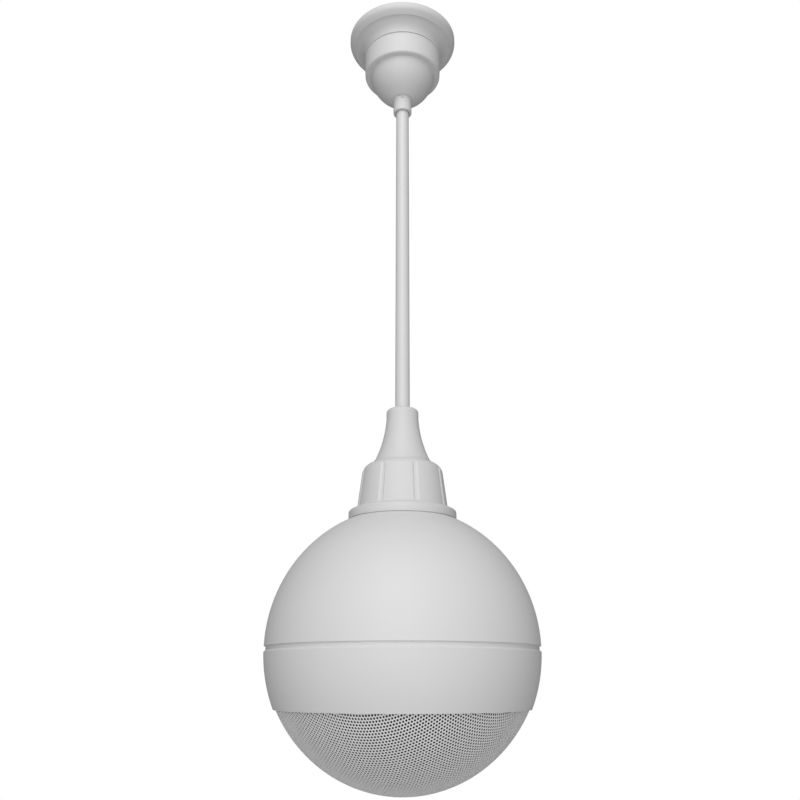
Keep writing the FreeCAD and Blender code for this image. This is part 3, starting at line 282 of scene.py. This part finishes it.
def turn_section(mesh, columns, angle=FULL_TURN):
    """Sweep what a mesh holds round the Z axis, once round unless an angle is given."""
    bmesh.ops.spin(mesh, geom=mesh.verts[:] + mesh.edges[:], cent=(0.0, 0.0, 0.0),
                   axis=(0.0, 0.0, 1.0), angle=angle, steps=columns,
                   use_merge=angle == FULL_TURN)
    bmesh.ops.remove_doubles(mesh, verts=mesh.verts[:], dist=NEAR)
    bmesh.ops.recalc_face_normals(mesh, faces=mesh.faces[:])


nuts = bmesh.new()
for seat in NUT_SEATS:
    top = seat + NUT_HEIGHT
    draw_section(nuts, ((NUT_BORE, seat), (NUT_FACE, seat), (NUT_FLAT, seat + NEAR),
                        (NUT_FLAT, top - NEAR), (NUT_FACE, top), (NUT_BORE, top)))
turn_section(nuts, NUT_COLUMNS)
for vert in nuts.verts:
    radius = math.hypot(vert.co.x, vert.co.y)
    if radius < (NUT_FACE + NUT_FLAT) / 2:
        continue
    off_flat = math.atan2(vert.co.y, vert.co.x) % (math.pi / 3) - math.pi / 6
    reach = NUT_FLAT / math.cos(off_flat)
    seat = max(seat for seat in NUT_SEATS if seat < vert.co.z)
    down = (reach - NUT_FACE) * CHAMFER_SLOPE
    upper = vert.co.z > seat + NUT_HEIGHT / 2
    vert.co = (vert.co.x * reach / radius, vert.co.y * reach / radius,
               seat + NUT_HEIGHT - down if upper else seat + down)
save_piece(nuts, "lock_nuts_turned", zinc_plate, "zinc_steel", "lock_nuts")


def plain_finish(name, low, high, scale, roughness, spread, depth):
    """A finish with a mottle of one scale and a finer grain over it."""
    finish = Finish(name)
    mottle = finish.noise(scale, 4.0)
    grain = finish.noise(scale * 3.0, 2.0)
    finish.set("Base Color", finish.blend(mottle * 0.7 + grain * 0.3, low, high))
    finish.set("Roughness", roughness + spread * mottle)
    finish.bump(mottle * 0.6 + grain * 0.4, depth, 0.8)
    return finish


# Terminal block.
# Two-pole joint of natural nylon, hung under the ceiling plate, for the building's cable.
plain_finish("nylon", (0.74, 0.73, 0.66), (0.84, 0.83, 0.78), 300.0, 0.4, 0.15,
             0.00003).paint("terminal_block")


# Canopy.
# Two mouldings in white ABS that the rod collar holds up against the ceiling. The tool was
# lightly spark-textured, which leaves a fine even grain with a soft sheen. The base goes from
# its rim over a steep ring into a hollow cove, and a narrow recess marks the joint to the cup.
GRAIN_DEPTH = 0.00004


def white_plastic(name, grey=0.80, grain=2600.0):
    finish = Finish(name, specular=0.4)
    drift = finish.noise(9.0, 3.0)
    speck = finish.noise(grain, 2.0)
    ripple = finish.noise(160.0, 2.0)
    finish.set("Base Color", finish.blend(drift * 0.6 + speck * 0.4, shade(grey - 0.025),
                                          shade(grey + 0.02)))
    finish.set("Roughness", 0.44 + 0.10 * speck + 0.06 * ripple)
    finish.bump(speck * 0.8 + ripple * 0.5, GRAIN_DEPTH, 0.6)
    return finish


SAME_PLACE = 0.00002


def round_ring(mesh, radius, height, reach, segments):
    """Bevel the edges that run round a turned piece at one corner of its section."""
    ring = [edge for edge in mesh.edges if all(
        abs(math.hypot(vert.co.x, vert.co.y) - radius) < SAME_PLACE
        and abs(vert.co.z - height) < SAME_PLACE for vert in edge.verts)]
    bmesh.ops.bevel(mesh, geom=ring, offset=reach, offset_type="OFFSET", segments=segments,
                    profile=0.5, affect="EDGES", material=-1, clamp_overlap=True)


canopy_plastic = white_plastic("canopy_plastic", 0.76)
canopy_plastic.paint("canopy_cup")
BASE_RIM = 0.052
BASE_RIM_DROP = 0.0055
BASE_RIM_ROUND = 0.0022
RING_END = 0.0469
RING_END_DROP = 0.0102
RING_STEP = 0.0008
COVE_START = 0.0464
COVE_FOOT = 0.0369
COVE_FOOT_DROP = 0.0212
COVE_STEPS = 20
JOINT_RECESS = 0.0352
JOINT_DROP = 0.022
BASE_INSIDE = 0.0344
COVE_ROOF = 0.0128
RING_INSIDE = 0.0435
RING_ROOF = 0.0068
RIM_INSIDE = 0.050
RIM_ROOF = 0.0035
BASE_COLUMNS = 192
base = bmesh.new()
draw_section(base, (
    (BASE_RIM, 0.0), (BASE_RIM, -BASE_RIM_DROP), (RING_END, -RING_END_DROP),
    *((COVE_START - (COVE_START - COVE_FOOT) * math.sin(turn),
       (COVE_FOOT_DROP + RING_STEP - RING_END_DROP) * math.cos(turn) - COVE_FOOT_DROP)
      for turn in (math.pi / 2 * step / COVE_STEPS for step in range(COVE_STEPS + 1))),
    (JOINT_RECESS, -COVE_FOOT_DROP), (JOINT_RECESS, -JOINT_DROP), (BASE_INSIDE, -JOINT_DROP),
    (BASE_INSIDE, -COVE_ROOF), (RING_INSIDE, -RING_ROOF), (RIM_INSIDE, -RIM_ROOF),
    (RIM_INSIDE, 0.0)))
turn_section(base, BASE_COLUMNS)
round_ring(base, BASE_RIM, -BASE_RIM_DROP, BASE_RIM_ROUND, 6)
round_ring(base, RING_END, -RING_END_DROP, BASE_RIM_ROUND / 8, 3)
save_piece(base, "canopy_base_moulded", canopy_plastic, "white_plastic", "canopy_base")


# Rod collar.
# Turned sleeve in the same white, held on the rod by a slotted set screw at the front, which is
# painted over.
white_plastic("rod_collar_plastic", 0.76, 3200.0).paint("rod_collar")
white_plastic("screw_paint", 0.70, 3200.0).paint("collar_set_screw")


# Rod.
# Steel tube, 12 mm across, powder-coated white between two bare ends that carry a fine thread
# for the lock nuts.
ROD_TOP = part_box("rod")[1][2]
ROD_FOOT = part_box("rod")[0][2]
COAT_TOP = -0.0235
COAT_FOOT = -0.460
ROD_RADIUS = 0.006
ROD_BORE = 0.005
THREAD_ROOT = 0.00545
THREAD_CREST = 0.00595
THREAD_PITCH = 0.001
THREAD_STEPS = 24
ROD_COLUMNS = 96


def powder_coat(name, grey):
    finish = Finish(name, specular=0.5)
    peel = finish.noise(900.0, 2.0)
    cloud = finish.noise(14.0)
    finish.set("Base Color", finish.blend(cloud * 0.7 + peel * 0.3, shade(grey - 0.025),
                                          shade(grey + 0.02)))
    finish.set("Roughness", 0.34 + 0.14 * peel)
    finish.bump(peel, 0.00005, 0.7)
    return finish


rod_coat = powder_coat("rod_coat", 0.79)
tube = bmesh.new()
ROD_BEVEL = 0.0003
draw_section(tube, ((ROD_BORE, COAT_TOP), (ROD_RADIUS - ROD_BEVEL, COAT_TOP),
                    (ROD_RADIUS, COAT_TOP - ROD_BEVEL), (ROD_RADIUS, COAT_FOOT + ROD_BEVEL),
                    (ROD_RADIUS - ROD_BEVEL, COAT_FOOT), (ROD_BORE, COAT_FOOT)))
turn_section(tube, ROD_COLUMNS)
save_piece(tube, "rod_coated", rod_coat, "white_paint", "rod")

THREADED_ENDS = ((ROD_TOP, COAT_TOP), (COAT_FOOT, ROD_FOOT))
ends = bmesh.new()
for top, foot in THREADED_ENDS:
    draw_section(ends, ((ROD_BORE, top), (THREAD_ROOT, top), (THREAD_ROOT, foot),
                        (ROD_BORE, foot)))
turn_section(ends, 2 * THREAD_STEPS)
for top, foot in THREADED_ENDS:
    turns = int((top - foot) / THREAD_PITCH) - 1
    ridge = ends.faces.new([ends.verts.new(place) for place in (
        (THREAD_ROOT - ROD_BEVEL / 3, 0.0, top),
        (THREAD_CREST, 0.0, top - THREAD_PITCH / 2),
        (THREAD_ROOT - ROD_BEVEL / 3, 0.0, top - THREAD_PITCH))])
    bmesh.ops.spin(ends, geom=[ridge, *ridge.verts, *ridge.edges], cent=(0.0, 0.0, 0.0),
                   axis=(0.0, 0.0, 1.0), angle=FULL_TURN * turns, steps=THREAD_STEPS * turns,
                   dvec=(0.0, 0.0, -THREAD_PITCH / THREAD_STEPS))
bmesh.ops.recalc_face_normals(ends, faces=ends.faces[:])
save_piece(ends, "rod_threads", zinc_plate, "zinc_steel", "rod")


# Neck cone.
# Flared moulding that hides the rod's foot, with a step and a fine lip where it meets the
# collar below. A thin dark grey ring round the rod on its top is painted shade: it stands in for
# the shadow line in the gap between the cone and the rod.
neck_plastic = white_plastic("neck_plastic", 0.77)
neck_plastic.paint("neck_cone")
# Dark grey painted shade for the ring at the top of the cone.
shadow_line_grey = plain_finish("shadow_line_grey", shade(0.13), shade(0.18), 700.0, 0.6, 0.15, 0.00004)
NECK_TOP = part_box("neck_cone")[1][2]
RING_TOP = NECK_TOP + 0.0013
RING_RADIUS = 0.0066
RING_COLUMNS = 72
ring = bmesh.new()
draw_section(ring, ((ROD_RADIUS, NECK_TOP), (RING_RADIUS, NECK_TOP),
                    (RING_RADIUS, RING_TOP - ROD_BEVEL), (RING_RADIUS - ROD_BEVEL, RING_TOP),
                    (ROD_RADIUS, RING_TOP)))
turn_section(ring, RING_COLUMNS)
save_piece(ring, "neck_shadow_ring", shadow_line_grey, "grey_plastic")


# Neck collar.
# Moulding with a domed shoulder and eight shallow grooves, and a flange that sits on the ball.
# The grooves have sloping walls, run out in the shoulder and end above the flange.
COLLAR_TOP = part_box("neck_collar")[1][2]
COLLAR_HOLE = 0.0197
COLLAR_WALL = 0.0035
COLLAR_SHOULDER = 0.0309
COLLAR_SHOULDER_ROUND = 0.0085
COLLAR_FOOT = 0.0353
COLLAR_FOOT_DROP = 0.035
COLLAR_FLANGE = 0.0418
COLLAR_FLANGE_DROP = 0.0376
COLLAR_FLANGE_ROUND = 0.0012
COLLAR_FLANGE_FOOT = 0.044325
COLLAR_INNER_FOOT = 0.0428
COLLAR_COLUMNS = 400
GROOVES = 8
GROOVE_COLUMNS = 8
GROOVE_WALL = 2
GROOVE_DEPTH = 0.0009
GROOVE_EASE = 0.00008
GROOVE_CREASE = math.radians(25.0)
GROOVE_TURN = math.radians(17.5)
WALL_SLOPE = math.atan2(COLLAR_FOOT - COLLAR_SHOULDER, COLLAR_FOOT_DROP)

collar = bmesh.new()
draw_section(collar, (
    (COLLAR_HOLE, COLLAR_TOP),
    (COLLAR_HOLE, COLLAR_TOP - COLLAR_WALL),
    (COLLAR_SHOULDER - 2 * COLLAR_WALL, COLLAR_TOP - COLLAR_WALL),
    (COLLAR_SHOULDER - COLLAR_WALL, COLLAR_TOP - 2 * COLLAR_WALL),
    (COLLAR_FOOT - COLLAR_WALL, COLLAR_TOP - COLLAR_FOOT_DROP),
    (COLLAR_FLANGE - COLLAR_WALL, COLLAR_TOP - COLLAR_FLANGE_DROP - COLLAR_WALL / 2),
    (COLLAR_FLANGE - COLLAR_WALL, COLLAR_TOP - COLLAR_INNER_FOOT),
    (COLLAR_FLANGE, COLLAR_TOP - COLLAR_FLANGE_FOOT),
    (COLLAR_FLANGE, COLLAR_TOP - COLLAR_FLANGE_DROP),
    (COLLAR_FOOT, COLLAR_TOP - COLLAR_FOOT_DROP),
    (COLLAR_FOOT - GROOVE_DEPTH * math.tan(WALL_SLOPE),
     COLLAR_TOP - COLLAR_FOOT_DROP + GROOVE_DEPTH),
    (COLLAR_SHOULDER, COLLAR_TOP)))
turn_section(collar, COLLAR_COLUMNS)
shoulder_turn = math.pi / 2 - WALL_SLOPE
round_ring(collar, COLLAR_SHOULDER, COLLAR_TOP,
           COLLAR_SHOULDER_ROUND * math.tan(shoulder_turn / 2), 14)
round_ring(collar, COLLAR_FLANGE, COLLAR_TOP - COLLAR_FLANGE_DROP, COLLAR_FLANGE_ROUND, 4)
round_ring(collar, COLLAR_FLANGE, COLLAR_TOP - COLLAR_FLANGE_FOOT, COLLAR_FLANGE_ROUND / 4, 2)
round_ring(collar, COLLAR_HOLE, COLLAR_TOP, COLLAR_FLANGE_ROUND / 4, 2)


def groove_floor(height):
    """Radius of a groove's floor at a height."""
    share = (COLLAR_TOP - height) / COLLAR_FOOT_DROP
    return COLLAR_SHOULDER - GROOVE_DEPTH + (COLLAR_FOOT - COLLAR_SHOULDER) * share


eighth = FULL_TURN / GROOVES
column_angle = FULL_TURN / COLLAR_COLUMNS
for vert in collar.verts:
    radius = math.hypot(vert.co.x, vert.co.y)
    column = round(math.atan2(vert.co.y, vert.co.x) % eighth / column_angle)
    sunk = min(1.0, column / GROOVE_WALL, (GROOVE_COLUMNS - column) / GROOVE_WALL)
    floor_radius = groove_floor(vert.co.z)
    if sunk > 0 and radius > floor_radius and vert.co.z > COLLAR_TOP - COLLAR_FOOT_DROP + NEAR:
        share = 1.0 - sunk * (1.0 - floor_radius / radius)
        vert.co = (vert.co.x * share, vert.co.y * share, vert.co.z)
collar.normal_update()
creases = [edge for edge in collar.edges if len(edge.link_faces) == 2
           and edge.calc_face_angle() > GROOVE_CREASE
           and min(vert.co.z for vert in edge.verts) > COLLAR_TOP - COLLAR_FOOT_DROP - NEAR
           and min(math.hypot(vert.co.x, vert.co.y) - groove_floor(vert.co.z)
                   for vert in edge.verts) > -GROOVE_EASE]
bmesh.ops.bevel(collar, geom=creases, offset=GROOVE_EASE, offset_type="OFFSET", segments=2,
                profile=0.5, affect="EDGES", material=-1, clamp_overlap=True)
bmesh.ops.rotate(collar, verts=collar.verts[:], matrix=Matrix.Rotation(
    GROOVE_TURN - GROOVE_COLUMNS * column_angle / 2, 3, "Z"))
save_piece(collar, "neck_collar_grooved", neck_plastic, "white_plastic", "neck_collar")


# Upper shell.
# Half ball of white ABS, 200 mm across, with a boss for the rod at its top.
white_plastic("shell_plastic").paint("upper_shell")


# Lower band.
# Ring of the same plastic, turned on to the shell's bayonet lugs; its eased top edge catches
# the light under the dark groove.
white_plastic("band_plastic", 0.79).paint("lower_band")


# Grille.
# Dome of perforated steel, drawn from flat sheet and powder-coated. The holes are punched in
# staggered rows before the dome is drawn, so the rows run on over the dome. The plain flange
# round it lies between the band's lip and the baffle.
HOLE_PITCH = 0.00241
HOLE_WIDTH = 0.00172
SHEET = 0.00035
ROW_TURN = math.radians(42.9)
GRILLE_RADIUS = 0.08879
GRILLE_EDGE = -0.6121
GRILLE_FLANGE = 0.09102
GRILLE_FLANGE_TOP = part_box("grille")[1][2]
FLANGE_GAUGE = 0.001
GRILLE_SEAT = GRILLE_FLANGE_TOP - FLANGE_GAUGE
LATTICE_TOP = -0.6095
DOME_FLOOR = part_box("grille")[0][2]
DOME_RISE = GRILLE_EDGE - DOME_FLOOR
DOME_ARC = (GRILLE_RADIUS ** 2 + DOME_RISE ** 2) / (2 * DOME_RISE)
DOME_CENTRE = DOME_FLOOR + DOME_ARC
EDGE_ANGLE = math.asin(GRILLE_RADIUS / DOME_ARC)
GRILLE_SECTORS = 4
FLANGE_COLUMNS = 240


def perforated_sheet(reach):
    """A flat disc of staggered round holes: one six-sided cell, repeated along and across."""
    sheet = bmesh.new()
    bmesh.ops.create_circle(sheet, cap_ends=True, segments=12, radius=HOLE_PITCH / math.sqrt(3))
    for vert in sheet.verts[:][1::2]:
        vert.co = vert.co.normalized() * HOLE_PITCH / 2
    bmesh.ops.inset_individual(sheet, faces=sheet.faces[:],
                               thickness=(HOLE_PITCH - HOLE_WIDTH) / 2)
    hole = min(sheet.faces, key=lambda face: face.calc_center_median().length)
    for vert in hole.verts:
        vert.co = vert.co.normalized() * HOLE_WIDTH / 2
    bmesh.ops.delete(sheet, geom=[hole], context="FACES")
    across = HOLE_PITCH * math.sqrt(3)
    columns = 2 * math.ceil(reach / HOLE_PITCH)
    row_pairs = 2 * math.ceil(reach / across)
    for step, count in (((HOLE_PITCH, 0.0, 0.0), columns),
                        ((HOLE_PITCH / 2, across / 2, 0.0), 1),
                        ((0.0, across, 0.0), row_pairs)):
        bmesh.ops.spin(sheet, geom=sheet.verts[:] + sheet.edges[:] + sheet.faces[:], angle=0.0,
                       axis=(0.0, 0.0, 1.0), dvec=step, steps=count, use_duplicate=True)
    bmesh.ops.translate(sheet, verts=sheet.verts[:], vec=(
        -HOLE_PITCH * columns / 2, -across * row_pairs / 2, 0.0))
    outside = [face for face in sheet.faces if face.calc_center_median().length > reach]
    bmesh.ops.delete(sheet, geom=outside, context="FACES")
    bmesh.ops.remove_doubles(sheet, verts=sheet.verts[:], dist=HOLE_PITCH / 40)
    bmesh.ops.rotate(sheet, verts=sheet.verts[:], matrix=Matrix.Rotation(ROW_TURN, 3, "Z"))
    return sheet


def sector_of(point):
    return int((math.atan2(point.y, point.x) + math.pi) / FULL_TURN * GRILLE_SECTORS)


# The grille's white is set lighter than the rod's coat. Part of that is its own white and part is
# painted light, making up for the little lamp light that reaches the dome, which faces down.
grille_coat_painted_lighter = powder_coat("grille_coat_painted_lighter", 0.90)
sheet = perforated_sheet(DOME_ARC * EDGE_ANGLE + LATTICE_TOP - GRILLE_EDGE)
for vert in sheet.verts:
    out = Vector((vert.co.x, vert.co.y, 0.0))
    angle = out.length / DOME_ARC
    out.normalize()
    if angle <= EDGE_ANGLE:
        vert.co = out * (DOME_ARC * math.sin(angle))
        vert.co.z = DOME_CENTRE - DOME_ARC * math.cos(angle)
    else:
        vert.co = out * GRILLE_RADIUS
        vert.co.z = GRILLE_EDGE + (angle - EDGE_ANGLE) * DOME_ARC
bmesh.ops.recalc_face_normals(sheet, faces=sheet.faces[:])
lowest = min(sheet.faces, key=lambda face: face.calc_center_median().z)
if lowest.normal.z > 0:
    bmesh.ops.reverse_faces(sheet, faces=sheet.faces[:])
for sector in range(GRILLE_SECTORS):
    part = sheet.copy()
    others = [face for face in part.faces
              if sector_of(face.calc_center_median()) % GRILLE_SECTORS != sector]
    bmesh.ops.delete(part, geom=others, context="FACES")
    piece = save_piece(part, "grille_perforated_%d" % sector, grille_coat_painted_lighter, "white_paint",
                       "grille", sharp=0.0)
    for face in piece.data.polygons:
        face.use_smooth = False
    wall = piece.modifiers.new("sheet", "SOLIDIFY")
    wall.thickness = SHEET
    wall.offset = -1.0
sheet.free()

flange = bmesh.new()
draw_section(flange, (
    (GRILLE_RADIUS - SHEET, LATTICE_TOP), (GRILLE_RADIUS, LATTICE_TOP),
    (GRILLE_RADIUS, GRILLE_SEAT), (GRILLE_FLANGE, GRILLE_SEAT),
    (GRILLE_FLANGE, GRILLE_FLANGE_TOP), (GRILLE_RADIUS - SHEET, GRILLE_FLANGE_TOP)))
turn_section(flange, FLANGE_COLUMNS)
save_piece(flange, "grille_flange", grille_coat_painted_lighter, "white_paint", "grille")


# Painted shade.
# A near-black sheet just inside the dome is painted shade: it stands in for the dark inside of
# the ball, so that the holes look dark from outside.
SHADE_SHEET_GAP = 0.0002
SHADE_SHEET_GAUGE = 0.0003
SHADE_SHEET_RINGS = 48
SHADE_SHEET_COLUMNS = 96
shade_sheet_ball = DOME_ARC - SHEET - SHADE_SHEET_GAP
shade_sheet = bmesh.new()
pole = shade_sheet.verts.new((0.0, 0.0, DOME_CENTRE - shade_sheet_ball))
bmesh.ops.spin(shade_sheet, geom=[pole], cent=(0.0, 0.0, DOME_CENTRE), axis=(0.0, -1.0, 0.0),
               angle=EDGE_ANGLE - 2 * SHEET / DOME_ARC, steps=SHADE_SHEET_RINGS)
turn_section(shade_sheet, SHADE_SHEET_COLUMNS)
if min(shade_sheet.faces, key=lambda face: face.calc_center_median().z).normal.z > 0:
    bmesh.ops.reverse_faces(shade_sheet, faces=shade_sheet.faces[:])
bmesh.ops.solidify(shade_sheet, geom=shade_sheet.faces[:], thickness=SHADE_SHEET_GAUGE)
# The sheet's near-black colour is painted shade.
shade_sheet_finish = plain_finish("painted_shade_black", shade(0.008), shade(0.016), 2500.0, 0.85, 0.1, 0.00008)
save_piece(shade_sheet, "painted_shade_sheet", shade_sheet_finish, "black_paper")


# Baffle and gasket.
# Black dish of filled polypropylene that carries the driver; a soft rubber ring seals it.
plain_finish("baffle_plastic", shade(0.030), shade(0.055), 900.0, 0.55, 0.15,
             0.00005).paint("baffle")
black_rubber = plain_finish("black_rubber", shade(0.018), shade(0.03), 700.0, 0.6, 0.15, 0.00004)
black_rubber.paint("driver_gasket")
zinc("screw_zinc", 0.55).paint("driver_screws")


# Driver.
# Pressed frame in black paint, ferrite ring between two plated plates, paper cone with its dust
# cap, and a coil of copper wire on a paper former.
plain_finish("frame_paint", shade(0.02), shade(0.035), 800.0, 0.35, 0.2,
             0.00004).paint("driver_frame")
zinc("magnet_steel", 0.58).paint("top_plate", "back_plate")
plain_finish("ferrite", shade(0.07), shade(0.12), 1300.0, 0.6, 0.2,
             0.00004).paint("ring_magnet")
plain_finish("paper_pulp", shade(0.025), shade(0.05), 1100.0, 0.8, 0.15,
             0.0001).paint("paper_cone", "dust_cap")
plain_finish("kraft_paper", (0.36, 0.22, 0.11), (0.46, 0.30, 0.16), 1500.0, 0.7, 0.1,
             0.00003).paint("coil_former")


def winding(name, turn_height):
    """Enamelled copper wire in even turns, one above the other."""
    finish = Finish(name, metallic=1.0)
    rows = finish.stripes("Z", turn_height)
    tint = finish.noise(700.0, 3.0)
    finish.set("Base Color", finish.blend(rows * 0.6 + tint * 0.4, (0.36, 0.13, 0.05),
                                          (0.68, 0.33, 0.15)))
    finish.set("Roughness", 0.26 + 0.14 * tint)
    finish.bump(rows, turn_height / 3, 0.8)
    return finish


winding("coil_wire", 0.0003).paint("voice_coil")


# Surround and spider.
# The half roll of rubber and the corrugated cloth ring let the cone travel. Each is drawn in
# sectors, each swept from the frame to the cone.
SOFT_SECTORS = 12
SOFT_COLUMNS = 8
SEAM_INSIDE = 0.043
CONE_EDGE = 0.046
ROLL_OUTSIDE = 0.0552
SURROUND_RIM = 0.0587
SURROUND_SEAT = -0.590
SURROUND_GAUGE = 0.0006
ROLL_RADIUS = 0.0049
FORMER_OUTSIDE = 0.0128
SPIDER_OUTSIDE = 0.030
SPIDER_RIM = 0.035
SPIDER_SEAT = -0.5679
SPIDER_WAVE = 0.0008
SPIDER_FOLDS = 5
SPIDER_GAUGE = 0.0005


def soft_ring(name, finish, node, draw, gauge, folds=()):
    """A ring of thin material in sectors, swept from one radius to the other."""
    for sector in range(SOFT_SECTORS):
        ring = bmesh.new()
        draw(ring)
        turn_section(ring, SOFT_COLUMNS, FULL_TURN / SOFT_SECTORS)
        for radius, height in folds:
            round_ring(ring, radius, height, gauge, 3)
        if sum(face.normal.z for face in ring.faces) > 0:
            bmesh.ops.reverse_faces(ring, faces=ring.faces[:])
        bmesh.ops.solidify(ring, geom=ring.faces[:], thickness=gauge)
        start = sector * FULL_TURN / SOFT_SECTORS
        bmesh.ops.rotate(ring, verts=ring.verts[:], matrix=Matrix.Rotation(start, 3, "Z"))
        bmesh.ops.recalc_face_normals(ring, faces=ring.faces[:])
        piece = save_piece(ring, "%s_%02d" % (name, sector), finish, None)
        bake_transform(piece)
        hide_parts(node)


def draw_surround(mesh):
    seam_height = SURROUND_SEAT + SURROUND_GAUGE
    draw_section(mesh, ((SEAM_INSIDE, seam_height), (CONE_EDGE - SURROUND_GAUGE, seam_height),
                        (CONE_EDGE, SURROUND_SEAT)), closed=False)
    draw_section(mesh, ((ROLL_OUTSIDE, SURROUND_SEAT), (SURROUND_RIM, SURROUND_SEAT)),
                 closed=False)
    middle = (CONE_EDGE + ROLL_OUTSIDE) / 2
    half = (ROLL_OUTSIDE - CONE_EDGE) / 2
    rise = math.sqrt(ROLL_RADIUS ** 2 - half ** 2)
    start = mesh.verts.new((CONE_EDGE, 0.0, SURROUND_SEAT))
    bmesh.ops.spin(mesh, geom=[start], cent=(middle, 0.0, SURROUND_SEAT + rise),
                   axis=(0.0, -1.0, 0.0), angle=2 * math.asin(half / ROLL_RADIUS), steps=14)
    bmesh.ops.remove_doubles(mesh, verts=mesh.verts[:], dist=NEAR)


fold_step = (SPIDER_OUTSIDE - FORMER_OUTSIDE) / (SPIDER_FOLDS + 1)
fold_tops = [(FORMER_OUTSIDE + number * fold_step,
              SPIDER_SEAT + (SPIDER_WAVE if number % 2 else -SPIDER_WAVE))
             for number in range(1, SPIDER_FOLDS + 1)]


def draw_spider(mesh):
    draw_section(mesh, ((FORMER_OUTSIDE, SPIDER_SEAT), *fold_tops,
                        (SPIDER_OUTSIDE, SPIDER_SEAT), (SPIDER_RIM, SPIDER_SEAT)), closed=False)


def woven(name, low, high, thread):
    """Coarse cloth stiffened with resin."""
    finish = Finish(name)
    weave = finish.stripes("X", thread, 0.4) * 0.5 + finish.stripes("Y", thread, 0.4) * 0.5
    finish.set("Base Color", finish.blend(weave, low, high))
    finish.set("Roughness", 0.7 + 0.15 * finish.noise(900.0))
    finish.bump(weave, thread / 4, 0.8)
    return finish


spider_cloth = woven("spider_cloth", (0.42, 0.28, 0.13), (0.56, 0.42, 0.23), 0.0006)
soft_ring("surround", black_rubber, "surround", draw_surround, SURROUND_GAUGE)
soft_ring("spider", spider_cloth, "spider", draw_spider, SPIDER_GAUGE,
          fold_tops)


# Line transformer.
# Laminated core with a wound bobbin, clamped by a strap to the shelf of a bent steel hanger
# under the boss of the shell.
LAMINATION = 0.0005
laminations = Finish("laminations", metallic=1.0)
layers = laminations.stripes("Y", LAMINATION, 0.3)
rust = laminations.noise(500.0, 4.0)
laminations.set("Base Color", laminations.blend(rust, (0.10, 0.09, 0.08), (0.24, 0.23, 0.22)))
laminations.set("Roughness", 0.4 + 0.25 * rust)
laminations.bump(layers, 0.0001, 0.7)
laminations.paint("transformer_core")
winding("bobbin_wire", 0.0004).paint("transformer_bobbin")
zinc("hanger_zinc", 0.56).paint("transformer_hanger", "transformer_strap", "transformer_screws")
